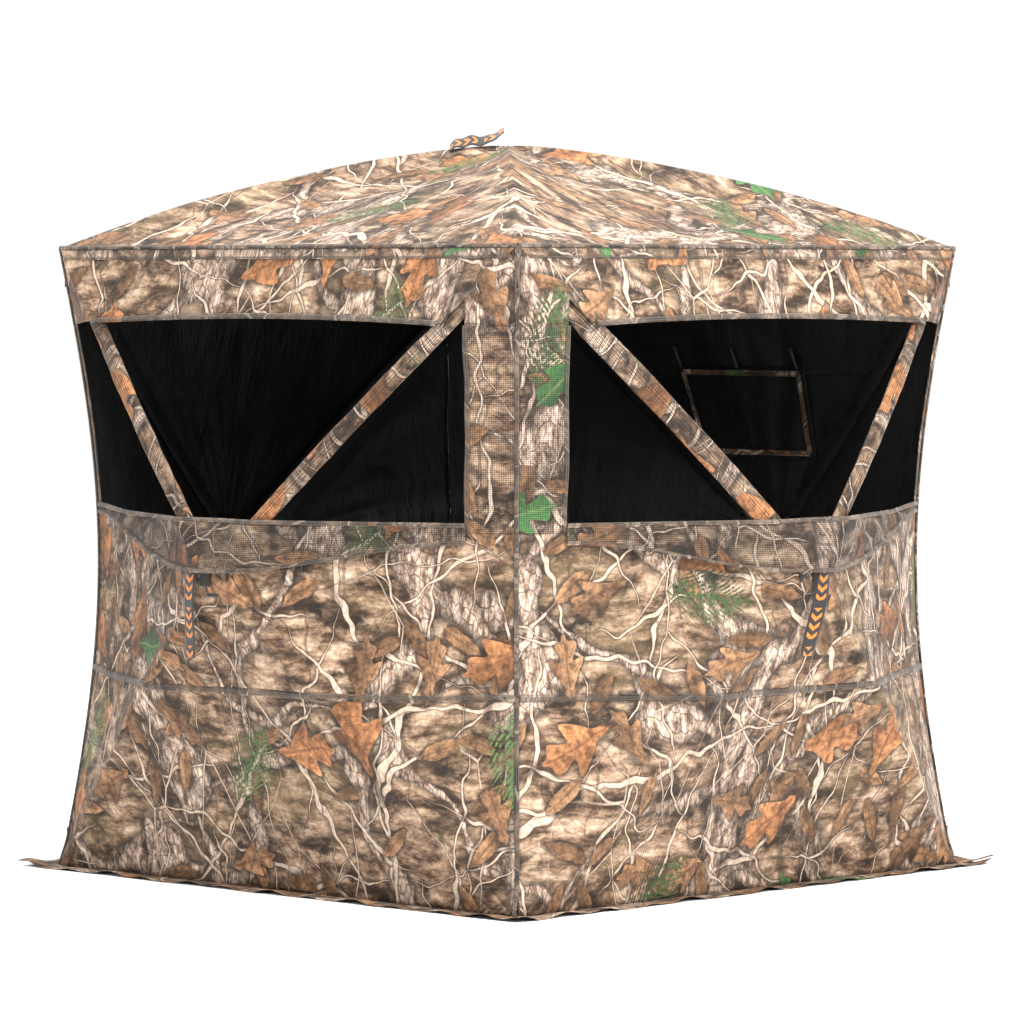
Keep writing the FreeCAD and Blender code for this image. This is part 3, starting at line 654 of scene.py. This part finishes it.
def declare(wide, long, area):
    """Rounds the cut's width and length and clamps its area to between 0.301 and 0.999 of the flat rectangle;
    the values are not kept. No share under 0.3 of the flat rectangle can be given.
    """
    wide, long = round(wide, 3), round(long, 3)
    area = min(max(area, 0.301 * wide * long), 0.999 * wide * long)


def out_of(k):
    return turn(k, 0, -1, 0)


def flat_map(k, u, v):
    return (u + 1.93 * k + 0.4, v + 1.2)


def wall_patch(name, k, axis, start, stop, low, high, cols, rows, mats=None, proud=0.0, thick=0.0012,
               strength=1.0, slope=None):
    """Part of wall k: slices at u (or v) from start to stop, each running from low(x) to high(x)."""
    def point(a, b):
        x = start + (stop - start) * a
        y = low(x) + (high(x) - low(x)) * b
        u, v = (x, y) if axis == "u" else (y, x)
        return wall_at(k, u, v, proud, strength), flat_map(k, u, v)
    if slope is None:
        slope = BULGE / (HALF if axis == "u" else MID)
    made = grid(name, point, cols, rows, out_of(k), mats, thick)
    made["cut_area"] = cut_area(start, stop, low, high, slope)
    return made


def pole_v(u):
    return abs(u) * MID / HALF


def pole_u(v):
    return abs(v) * HALF / MID


def hem_v(u):
    """Lower edge of the band above the windows."""
    return HEM + ARCH * max(0.0, 1.0 - (u / HALF) ** 2)


def root_blend(obj):
    """Bakes the piece's placement into its mesh."""
    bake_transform(obj)


def ride_side(obj):
    root_blend(obj)


for k, wall in enumerate(WALLS):
    windowed = wall in ("front", "right")
    near_sign = 1 if wall == "front" else -1

    # bottom panel
    name = "panel_%s_bottom" % wall
    low = wall_patch(name + "_cloth", k, "v", -MID, 0.0, lambda v: -pole_u(v), pole_u, 60, 64)
    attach(low, name)
    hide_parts(name)
    declare(2 * HALF, math.hypot(MID, BULGE), low["cut_area"])

    # top panel
    name = "panel_%s_top" % wall
    if windowed:
        band = wall_patch(name + "_band", k, "u", -HALF, HALF,
                          lambda u: max(hem_v(u), pole_v(u)), lambda u: MID, 96, 14, slope=BULGE / MID)
        wedge = wall_patch(name + "_wedge", k, "v", 0.0, SILL, lambda v: -pole_u(v), pole_u, 10, 16)
        top = join([band, wedge], name + "_cloth")
    elif wall == "back":
        lean = MID / math.hypot(MID, BULGE)
        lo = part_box("back_window_flap")[0][2] - MID + 0.016 * lean
        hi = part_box("back_window_flap")[1][2] - MID - 0.016 * lean
        wide_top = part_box("back_window_flap")[1][0] - 0.016
        wide_low = wide_top - 0.022

        def side_u(v):
            return wide_low + (wide_top - wide_low) * (v - lo) / (hi - lo)
        parts = [
            wall_patch(name + "_a", k, "v", 0.0, lo, lambda v: -pole_u(v), pole_u, 14, 40),
            wall_patch(name + "_b", k, "v", lo, hi, lambda v: -pole_u(v), lambda v: -side_u(v), 14, 16),
            wall_patch(name + "_c", k, "v", lo, hi, side_u, pole_u, 14, 16),
            wall_patch(name + "_d", k, "v", hi, MID, lambda v: -pole_u(v), pole_u, 20, 64),
        ]
        top = join(parts, name + "_cloth")
    else:
        top = wall_patch(name + "_cloth", k, "v", 0.0, MID, lambda v: -pole_u(v), pole_u, 60, 64)
    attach(top, name)
    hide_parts(name)
    declare(2 * HALF, math.hypot(MID, BULGE) if not windowed else 0.30, top["cut_area"])

    # side panels
    for sign in (1, -1):
        near = WALLS[(k + sign) % 4]
        body = "panel_%s_%s" % (wall, near)
        if windowed:
            inner = PILLAR if sign == near_sign else FAR

            def ceiling(u):
                return min(pole_v(u), SILL)
            knee = SILL * HALF / MID
            parts = [
                wall_patch(body + "_p", k, "u", 0.0, sign * knee, lambda u: -pole_v(u), ceiling, 10, 20),
                wall_patch(body + "_q", k, "u", sign * knee, sign * inner, lambda u: -pole_v(u),
                           ceiling, 34, 44),
                wall_patch(body + "_r", k, "u", sign * inner, sign * HALF, lambda u: -pole_v(u), ceiling,
                           8 if sign == near_sign else 2, 44),
                wall_patch(body + "_s", k, "u", sign * max(inner, HEM * HALF / MID), sign * HALF,
                           lambda u: hem_v(u), lambda u: max(pole_v(u), hem_v(u)), 10, 8),
            ]
            if sign != near_sign:
                parts.append(wall_patch(body + "_t", k, "u", sign * HEM * HALF / MID, sign * FAR,
                                        lambda u: hem_v(u), lambda u: max(pole_v(u), hem_v(u)), 6, 8))
                parts.append(wall_patch(body + "_v", k, "u", sign * FAR, sign * HALF,
                                        lambda u: SILL, hem_v, 2, 26))
            side = join(parts, body + "_cloth")
        elif wall == "left" and sign < 0:
            leaf_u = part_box("door_leaf")[1][1]
            tip_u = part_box("door_leaf")[0][1]
            gap = 0.006
            start_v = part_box("door_leaf")[1][2] - MID
            slope_v = (start_v - 0.012) / (leaf_u - tip_u)

            def leaf_v(u):
                return start_v - slope_v * (leaf_u - abs(u))

            def hole_v(u):
                return leaf_v(u) + gap * 1.4
            leaf = wall_patch("door_leaf_cloth", k, "u", -leaf_u, -tip_u, lambda u: -leaf_v(u),
                              leaf_v, 34, 50,
                              proud=0.0006)
            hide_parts("door_leaf")
            declare(2 * start_v, (leaf_u - tip_u) * math.hypot(1.0, BULGE / HALF),
                    leaf["cut_area"])
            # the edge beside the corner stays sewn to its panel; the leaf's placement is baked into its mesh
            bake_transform(leaf)
            parts = [
                wall_patch(body + "_p", k, "u", 0.0, -tip_u + 0.012, lambda u: -pole_v(u), pole_v, 10, 20),
                wall_patch(body + "_q", k, "u", -tip_u + 0.012, -leaf_u, hole_v, pole_v, 34, 8),
                wall_patch(body + "_r", k, "u", -tip_u + 0.012, -leaf_u, lambda u: -pole_v(u),
                           lambda u: -hole_v(u), 34, 8),
                wall_patch(body + "_s", k, "u", -leaf_u, -HALF, lambda u: -pole_v(u), pole_v, 10, 64),
            ]
            side = join(parts, body + "_cloth")
        else:
            side = wall_patch(body + "_cloth", k, "u", 0.0, sign * HALF, lambda u: -pole_v(u),
                              pole_v, 60, 64)
        ride_side(side)
        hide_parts(body)
        declare(2 * MID, math.hypot(HALF, BULGE), side["cut_area"])

        if windowed and sign == near_sign:
            pillar = wall_patch("mesh_pillar_%s" % wall, k, "u", sign * PILLAR, sign * HALF,
                                lambda u: SILL - 0.012, lambda u: hem_v(u) + 0.004, 12, 40,
                                mats=(MESH, MESH), proud=0.001, thick=0.0008)
            ride_side(pillar)
            declare((HALF - PILLAR) * math.hypot(1.0, BULGE / HALF), hem_v(PILLAR) - SILL + 0.016,
                    pillar["cut_area"])

# roof
for side, wall in enumerate(WALLS):
    name = "panel_roof_%s" % wall

    def point(a, b, side=side):
        x, y, _ = turn(side, (2.0 * b - 1.0) * HALF * a, -HALF * a, 0)
        return roof_at(x, y), (x + 7.9, y + 0.3)
    skin = grid(name + "_cloth", point, 60, 64, (0, 0, 1))
    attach(skin, name)
    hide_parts(name)
    declare(2 * HALF, math.hypot(HALF, RISE), HALF * math.hypot(HALF, RISE))


# ------------------------------------------------------------------ seams, hems and tapes
def tape_line(name, centre, across_way, out_way, count, half_width, proud, mat, uv):
    """A folded tape along centre(t), with a low crown, its edges on the cloth."""
    def point(a, b):
        s = 2.0 * b - 1.0
        height = proud * math.sqrt(max(0.0, 1.0 - s * s)) + 0.0006
        place = centre(a) + across_way(a) * (s * half_width) + out_way(a) * height
        return place, uv(a, s * half_width)
    lengths = [0.0]
    for i in range(count):
        lengths.append(lengths[-1] + (centre((i + 1) / count) - centre(i / count)).length)

    def tape(a, b):
        return (lengths[min(int(round(a * count)), count)], b * 2.0 * half_width)
    return grid(name, point, count, 8, tuple(out_way(0.5)), (mat,), 0.0008, tape)


def wall_tape(name, k, path, count, half_width, proud, mat, lift=0.0):
    """A tape along path(t) -> (u, v) on wall k."""
    def centre(t):
        return wall_at(k, *path(t), lift)

    def across(t):
        a = centre(max(t - 0.01, 0.0))
        b = centre(min(t + 0.01, 1.0))
        return (b - a).normalized().cross(outward(t)).normalized()

    def outward(t):
        u, v = path(t)
        d = 0.004
        side = wall_at(k, u + d, v, 0, 0) - wall_at(k, u - d, v, 0, 0)
        up = wall_at(k, u, v + d, 0, 0) - wall_at(k, u, v - d, 0, 0)
        return side.cross(up).normalized()

    def uv(t, s):
        u, v = path(t)
        x, y = flat_map(k, u, v)
        return (x, y + s)
    made = tape_line(name, centre, across, outward, count, half_width, proud, mat, uv)
    return made


MID_SEAM = 0.465 - MID
for k, wall in enumerate(WALLS):
    windowed = wall in ("front", "right")
    near_sign = 1 if wall == "front" else -1
    cross_u = pole_u(MID_SEAM)

    def seam_v(u):
        return MID_SEAM - 0.010 * (1.0 - (u / HALF) ** 2) + 0.004 * noise.noise(Vector((u * 3.0,
                                                                                        k * 2.0, 0)))
    # the folded seam round the walls, in three stretches, one for each panel that it crosses
    for sign in (1, -1):
        made = wall_tape("mid_seam_%s_%s" % (wall, "plus" if sign > 0 else "minus"), k,
                         lambda t, sign=sign: (sign * (cross_u + (HALF - 0.002 - cross_u) * t),
                                               seam_v(cross_u + (HALF - cross_u) * t)),
                         48, 0.0085, 0.0048, HEMMED)
        ride_side(made)
    made = wall_tape("mid_seam_%s_middle" % wall, k,
                     lambda t: (cross_u * (2.0 * t - 1.0), seam_v(cross_u * (2.0 * t - 1.0))),
                     40, 0.0085, 0.0048, HEMMED)
    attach(made, "panel_%s_bottom" % wall)

    # stitched band under the eave
    def band_point(a, b, k=k):
        u = HALF * (2.0 * a - 1.0)
        v = MID - 0.027 * (1.0 - b)
        u = max(-pole_u(v), min(pole_u(v), u))
        return wall_at(k, u, v, 0.0022), flat_map(k, u, v + 0.3)
    band = grid("eave_band_%s" % wall, band_point, 80, 4, out_of(k), (EAVE_TAPE,), 0.0010,
                lambda a, b: (a * 2 * HALF, 0.027 * b))
    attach(band, "panel_%s_top" % wall)
    declare(2 * HALF, 0.028, 2 * HALF * 0.028)

    if windowed:
        # hem along the band above the window
        cross = HEM * HALF / MID
        made = wall_tape("window_hem_%s" % wall, k, lambda t: (cross * (2 * t - 1),
                                                               hem_v(cross * (2 * t - 1))),
                         60, 0.0065, 0.0030, HEMMED)
        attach(made, "panel_%s_top" % wall)
        # bindings beside the opening
        made = wall_tape("pillar_binding_%s" % wall, k,
                         lambda t: (near_sign * PILLAR, SILL - 0.01 + (hem_v(PILLAR) - SILL + 0.01) * t),
                         40, 0.0055, 0.0026, HEMMED)
        ride_side(made)
        made = wall_tape("far_binding_%s" % wall, k,
                         lambda t: (-near_sign * FAR, SILL + (hem_v(FAR) - SILL) * t),
                         40, 0.0060, 0.0026, HEMMED)
        ride_side(made)

# back window trim
k = 2
trim = [(-wide_top, hi), (wide_top, hi), (wide_low, lo), (-wide_low, lo)]
for i in range(4):
    a, b = trim[i], trim[(i + 1) % 4]
    made = wall_tape("back_window_trim_%d" % i, k,
                     lambda t, a=a, b=b: (a[0] + (b[0] - a[0]) * t, a[1] + (b[1] - a[1]) * t),
                     20, 0.007, 0.0030, BRIGHT_TRIM, -0.0115)
    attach(made, "panel_back_top")
    made = wall_tape("back_window_hem_%d" % i, k,
                     lambda t, a=a, b=b: (a[0] + (b[0] - a[0]) * t, a[1] + (b[1] - a[1]) * t),
                     20, 0.008, 0.0026, HEMMED)
    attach(made, "panel_back_top")

# corner seams
for k in range(4):
    def corner(t, k=k):
        return wall_at(k, HALF, MID * (2.0 * t - 1.0), 0, 0)

    way = turn(k, 1, -1, 0).normalized()
    made = tape_line("corner_seam_%d" % k, corner, lambda t: Vector((-way.y, way.x, 0)), lambda t: way,
                     60, 0.0050, 0.0045, HEMMED, lambda t, s: (t * EAVE, s))
    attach(made, "sewn_edges")
    if k == 0:
        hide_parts("corner_bindings")

# eave piping, along the roof's edge
for k in range(4):
    def eave(t, k=k):
        return turn(k, HALF * (2.0 * t - 1.0), -HALF - 0.001, EAVE)

    outward = (out_of(k) + Vector((0, 0, 1))).normalized()
    across = outward.cross(turn(k, 1, 0, 0)).normalized()
    made = tape_line("eave_seam_%d" % k, eave, lambda t: across, lambda t: outward, 60, 0.0055,
                     0.0042, HEMMED,
                     lambda t, s: (t * 2 * HALF, s))
    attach(made, "sewn_edges")
    if k == 0:
        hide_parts("eave_band")


# ------------------------------------------------------------------ lowered window covers
def cover_low(u, near_sign):
    """Lower edge of the hanging cover: deepest in the middle, a point at the far corner."""
    x = u * near_sign
    if x > 0:
        return 0.006 + 0.072 * smooth(x / PILLAR) ** 1.1
    return 0.006 + 0.104 * smooth(-x / FAR) ** 1.35


def cover_shape(near_sign, sign, end, a, b):
    """Where a cover's cloth is, a from the hub outward, b from its lower edge up."""
    u = sign * end * a
    top = SILL + 0.006 + 0.010 * smooth((-u * near_sign - 0.45) / 0.25)
    low = cover_low(u, near_sign)
    v = low + (top - low) * b
    belly = 0.007 + 0.013 * math.sin(math.pi * (1.0 - b) * 0.62) * smooth((1.0 - a) * 3.0)
    return u, v, belly, v - low


for k, wall in ((0, "front"), (1, "right")):
    near_sign = 1 if wall == "front" else -1
    for sign in (1, -1):
        near = WALLS[(k + sign) % 4]
        node = "cover_%s_%s" % (wall, near)
        end = PILLAR if sign == near_sign else FAR

        def cover_point(a, b):
            u, v, belly, rise = cover_shape(near_sign, sign, end, a, b)
            ripple = noise.noise(Vector((u * 9.0 + v * 30.0, v * 10.0, 6.0 + k)))
            line = math.sin(rise * 95.0 + u * 7.0 * near_sign)
            belly += (0.0030 * ripple + 0.0022 * line) * smooth((1.0 - a) * 5.0) * smooth(a * 9.0 + 0.4)
            return wall_at(k, u, v, belly, 0.5), flat_map(k, u, v + 0.5)
        made = grid(node + "_cloth", cover_point, 60, 16, out_of(k), (SHADED_COVER, SHADED_COVER), 0.0009)
        ride_side(made)
        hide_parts(node)
        area = cut_area(0.0, end, lambda x: cover_low(sign * x, near_sign), lambda x: SILL + 0.008,
                        BULGE / HALF)
        declare(end * math.hypot(1.0, BULGE / HALF), 0.12, area)

        flat_out = (out_of(k) + Vector((0, 0, 0.3))).normalized()
        for edge, share in (("top", 1.0), ("low", 0.0)):
            def edge_point(t):
                u, v, belly, _ = cover_shape(near_sign, sign, end, t, share)
                return wall_at(k, u, v, belly + 0.0004, 0.5)

            def way_up(t):
                step = (edge_point(min(t + 0.02, 1.0)) - edge_point(max(t - 0.02, 0.0))).normalized()
                return step.cross(flat_out).normalized()
            made = tape_line("%s_%s_binding" % (node, edge), edge_point, way_up, lambda t: flat_out, 60,
                             0.0052, 0.0026, HEMMED, lambda t, s: (t * 0.7 + 3.0 * k, s))
            ride_side(made)

# ------------------------------------------------------------------ pull straps and patches
def strap(name, k, top_u, low_u, top_v, length, width, twist, lift):
    """Webbing strap that hangs from a wall hub, a little curled and twisted."""
    def point(a, b):
        s = 2.0 * b - 1.0
        turned = math.radians(twist) * math.sin(a * math.pi * 0.9)
        u = top_u + (low_u - top_u) * a + s * width * 0.5 * math.cos(turned)
        v = top_v - length * a
        n = BULGE + lift + 0.004 * math.sin(a * 5.0) + s * width * 0.5 * math.sin(turned)
        return turn(k, u, -(HALF + n), MID + v), (u, v)
    return grid(name, point, 40, 8, out_of(k), (STRAP,), 0.0018, lambda a, b: (a * length,
                                                                               (b - 0.5) * width))


LIFT = -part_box("strap_front")[0][1] - HALF - BULGE
for k, wall in enumerate(WALLS):
    node = "strap_" + wall
    if wall == "right":
        made = strap(node + "_webbing", k, 0.010, -0.044, 0.008, 0.190, 0.034, 38.0, LIFT - 0.005)
    else:
        middle = -0.052 if wall == "front" else (-0.040 if wall == "back" else 0.042)
        made = strap(node + "_webbing", k, middle + 0.004, middle - 0.004, 0.008, 0.196, 0.034, 8.0,
                     LIFT - 0.005)
    body = "panel_%s_bottom" % wall
    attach(made, body)
    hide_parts(node)
    declare(0.034, 0.196, 0.034 * 0.196)

    def patch_point(a, b, k=k):
        u = -0.0225 + 0.033 * a
        v = -0.029 + 0.038 * b
        n = BULGE + 0.0062 + 0.0012 * math.sin(a * math.pi) * math.sin(b * math.pi)
        return turn(k, u, -(HALF + n), MID + v), (u, v)
    made = grid("strap_patch_%s" % wall, patch_point, 10, 10, out_of(k), (BLACK,), 0.0024)
    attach(made, body)

STRAP_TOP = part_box("strap_roof")[1][2]


def roof_strap(a, b):
    s = 2.0 * b - 1.0
    along = -0.135 + 0.125 * a
    z = EAVE + RISE - 0.004 + 0.034 * a + 0.010 * math.sin(a * 6.0) * (1 - a) + 0.008 * smooth((a - 0.8) * 5)
    z += 0.004 * math.sin(a * 19.0) * (1 - a)
    roll = math.radians(28.0 + 14.0 * math.sin(a * 4.0))
    across = s * 0.017 * math.cos(roll)
    x = (along - across) * 0.7071
    y = (along + across) * 0.7071
    return Vector((x, y, min(z + 0.017 * s * math.sin(roll), STRAP_TOP + 0.004))), (along, across)


made = grid("strap_roof_webbing", roof_strap, 44, 8, (0, 0, 1), (STRAP,), 0.0018,
            lambda a, b: (a * 0.132, (b - 0.5) * 0.036))
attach(made, "panel_roof_left")
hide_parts("strap_roof")
declare(0.034, 0.140, 0.034 * 0.140)

# ------------------------------------------------------------------ ground skirt
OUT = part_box("ground_skirt")[1][0]


def skirt_point(k):
    def point(a, b):
        t = b
        reach = HALF - 0.004 + (OUT - HALF + 0.004) * t
        u = reach * (2.0 * a - 1.0)
        wave = 0.5 + 0.5 * math.sin(u * 21.0 + k * 2.1 + 1.3 * math.sin(u * 5.0))
        corner = smooth((abs(2.0 * a - 1.0) - 0.90) / 0.10)
        z = (0.0016 + t * (0.007 * wave + 0.004 * math.sin(u * 47.0 + k)) * smooth(t * 2.0)
             + 0.010 * corner * t * t)
        edge = 0.006 * math.sin(u * 9.0 + k) * t
        return turn(k, u, -(reach - abs(edge)), max(z, 0.0013)), (u + 0.7 * k, t * 0.08 + 2.2)
    return point


for k in range(4):
    made = grid("ground_skirt_%d" % k, skirt_point(k), 110, 8, (0, 0, 1), (CAMO, BLACK), 0.0012)
    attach(made, "sewn_edges")
    declare(2 * OUT, 0.08, (OUT + HALF) * (OUT - HALF + 0.004))
    if k == 0:
        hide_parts("ground_skirt")

# ------------------------------------------------------------------ corner patches behind the skin
POCKET_LEG = 0.085
for k in range(4):
    for upper in (1, -1):
        def pocket(a, b, k=k, upper=upper):
            u = HALF - 0.006 - POCKET_LEG * (1.0 - a) * b
            v = upper * (MID - 0.006 - POCKET_LEG * a * b)
            return turn(k, u, -(HALF - 0.007), MID + v), flat_map(k, u, v)
        made = grid("corner_pocket_%d_%s" % (k, "top" if upper > 0 else "foot"), pocket, 10, 10, out_of(k),
                    (BLACK,), 0.0016)
        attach(made, "sewn_edges")
        declare(POCKET_LEG, POCKET_LEG, 0.5 * POCKET_LEG * POCKET_LEG)
        if k == 0 and upper > 0:
            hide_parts("corner_pockets")


# ------------------------------------------------------------------ pole sleeves
WALL_BOW = 0.017       # how far a rod bows outward in its middle
ROOF_BOW = 0.040
SLEEVE_DEEP = 0.0085   # half the depth of a sleeve


def sleeve(body, pin, tip, out_way, bow, cloth, half_width):
    """Flat cloth tube round a bowed pole, made from one strip."""
    name = body + "_sleeve"
    along = tip - pin
    length = along.length
    x_way = along.normalized()
    side = out_way.cross(x_way).normalized()
    up = x_way.cross(side).normalized()

    def point(a, b):
        t = 0.075 + (0.965 - 0.075) * a
        centre = pin + along * t + up * (bow * 4.0 * t * (1.0 - t))
        angle = 2.0 * math.pi * b
        breadth = half_width * (0.82 + 0.18 * math.sin(math.pi * t)) \
            * (1.0 + 0.10 * noise.noise(Vector((t * 9.0, half_width * 50.0, len(name)))))
        c, s = math.cos(angle), math.sin(angle)
        sway = 0.0015 * noise.noise(Vector((t * 22.0, c * 2.0, s * 2.0)))
        place = centre + side * (breadth * math.copysign(abs(c) ** 0.8, c)) + up * (s * SLEEVE_DEEP + sway)
        return place, (t * length + len(name) * 0.37, b * 4.0 * half_width)
    made = grid(name, point, 60, 14, tuple(up), (cloth,), 0.0008)
    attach(made, body)
    girth = 3.9 * half_width + 0.6 * SLEEVE_DEEP   # near the tube's true girth
    declare(girth, 0.89 * length, girth * 0.89 * length)


PIN_CIRCLE = 0.038     # radius of the ring of pins in a hub
PIN_N = BULGE - 0.0225
TIP_BACK = 0.060
for k, wall in enumerate(WALLS):
    for su, sv in ((1, -1), (1, 1), (-1, 1), (-1, -1)):
        near = WALLS[(k + su) % 4]
        body = "pole_%s_%s_%s" % (wall, "upper" if sv > 0 else "lower", near)
        way = Vector((su * HALF, sv * MID, 0)).normalized()
        reach = math.hypot(HALF, MID) - TIP_BACK
        pin = turn(k, way.x * PIN_CIRCLE, -(HALF + PIN_N), MID + way.y * PIN_CIRCLE)
        tip = turn(k, way.x * reach, -(HALF - 0.012), MID + way.y * reach)
        shown = wall in ("front", "right") and sv > 0
        if shown:
            inner = wall == "right" and su < 0
            wide = 0.030 if inner else 0.0225
            sleeve(body, pin, tip, out_of(k), WALL_BOW, MESH, wide)
        else:
            sleeve(body, pin, tip, out_of(k), WALL_BOW, BLACK, 0.020)
for su, sv, tail in ((1, -1, "front_right"), (1, 1, "back_right"), (-1, 1, "back_left"), (-1, -1,
                                                                                          "front_left")):
    body = "pole_roof_" + tail
    way = Vector((su, sv, 0)).normalized()
    reach = HALF * math.sqrt(2.0) - TIP_BACK
    pin = Vector((way.x * PIN_CIRCLE, way.y * PIN_CIRCLE, EAVE + RISE - 0.022))
    tip = Vector((way.x * reach, way.y * reach, EAVE - 0.012))
    sleeve(body, pin, tip, Vector((0, 0, 1)), ROOF_BOW, BLACK, 0.020)

# closed flap inside the back window, sewn along its foot and held by toggles at the top
def flap_side(v):
    return wide_low + 0.016 + (wide_top - wide_low) * (v - lo) / (hi - lo)


made = wall_patch("back_window_flap_cloth", 2, "v", lo - 0.015, hi + 0.015, lambda v: -flap_side(v),
                  flap_side,
                  20, 30, (BLACK,), -0.0045)
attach(made, "panel_back_top")
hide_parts("back_window_flap")
declare(0.41, 0.24, made["cut_area"])
for i, (u, v) in enumerate(((-wide_top, hi), (0.0, hi), (wide_top, hi))):
    def toggle(a, b, u=u, v=v):
        angle = 2.0 * math.pi * b
        high = v + 0.012 + 0.050 * a
        place = wall_at(2, u + 0.010 * a + 0.0035 * math.cos(angle), high,
                        -0.012 + 0.0035 * math.sin(angle), 0.0)
        return place, (a * 0.05, b * 0.02)
    made = grid("back_window_toggle_%d" % i, toggle, 10, 10, out_of(2), (TAPE,), 0.0)
    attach(made, "panel_back_top")

# zips down both slopes of the door, sewn to the panel round it
for edge in (1, -1):
    made = wall_tape("door_zip_%s" % ("upper" if edge > 0 else "lower"), 3,
                     lambda t, e=edge: (-leaf_u + (leaf_u - tip_u) * t,
                                        e * (leaf_v(leaf_u - (leaf_u - tip_u) * t) + gap * 0.7)),
                     60, 0.013, 0.0022, ZIP, -0.0042)
    root_blend(made)

# ------------------------------------------------------------------ hard parts that stay as designed
for name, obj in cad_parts.items():
    if name.startswith("pole_") or name.startswith("hub_"):
        finish = ROD if name.startswith("pole_") else NYLON
        if not obj.material_slots:
            obj.data.materials.append(finish)
        for slot in obj.material_slots:
            slot.material = finish

# ------------------------------------------------------------------ floor, light, camera
floor_mesh = bpy.data.meshes.new("floor")
floor_mesh.from_pydata([(-60, -60, 0), (60, -60, 0), (60, 60, 0), (-60, 60, 0)], [], [(0, 1, 2, 3)])
floor = bpy.data.objects.new("floor", floor_mesh)
bpy.context.collection.objects.link(floor)
pale = bpy.data.materials.new("floor_pale")
pale.use_nodes = True
matt = pale.node_tree.nodes["Principled BSDF"].inputs
matt["Base Color"].default_value = (0.97, 0.97, 0.97, 1)
matt["Roughness"].default_value = 0.95
matt["Specular IOR Level"].default_value = 0.1
floor_mesh.materials.append(pale)
floor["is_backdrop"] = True

world = bpy.data.worlds.new("studio")
world.use_nodes = True
glow = world.node_tree.nodes["Background"].inputs
glow[0].default_value = (1.0, 1.0, 1.0, 1)
glow[1].default_value = 1.03
bpy.context.scene.world = world


def area_light(name, place, aim, size, power):
    lamp = bpy.data.lights.new(name, "AREA")
    lamp.shape = "RECTANGLE"
    lamp.size, lamp.size_y = size
    lamp.energy = power
    made = bpy.data.objects.new(name, lamp)
    made.location = place
    made.rotation_euler = (Vector(aim) - Vector(place)).to_track_quat("-Z", "Y").to_euler()
    bpy.context.collection.objects.link(made)


area_light("key", (6.5, -2.0, 4.4), (0.2, -0.1, 0.8), (3.0, 3.0), 620)
area_light("side", (0.6, -6.8, 4.0), (0.0, -0.3, 0.8), (3.2, 3.2), 35)
area_light("top", (0.8, -0.6, 6.2), (0, 0, 1.2), (5.0, 5.0), 540)

camera = bpy.data.cameras.new("camera")
camera.lens = 187.4
camera.sensor_width = 36.0
eye = bpy.data.objects.new("camera", camera)
EYE_AWAY = 12.42                     # metres from the middle of the blind
EYE_HIGH = 1.366
AROUND = math.radians(43.9)          # from the front wall's axis toward the right wall
LOOK_DOWN = math.radians(2.49235)
LOOK_ASIDE = math.radians(0.0430)
eye.location = (EYE_AWAY * math.sin(AROUND), -EYE_AWAY * math.cos(AROUND), EYE_HIGH)
eye.rotation_euler = (math.radians(90.0) - LOOK_DOWN, 0.0, AROUND - LOOK_ASIDE)
bpy.context.collection.objects.link(eye)
bpy.context.scene.camera = eye
bpy.context.scene.view_settings.view_transform = "Standard"

low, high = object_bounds()
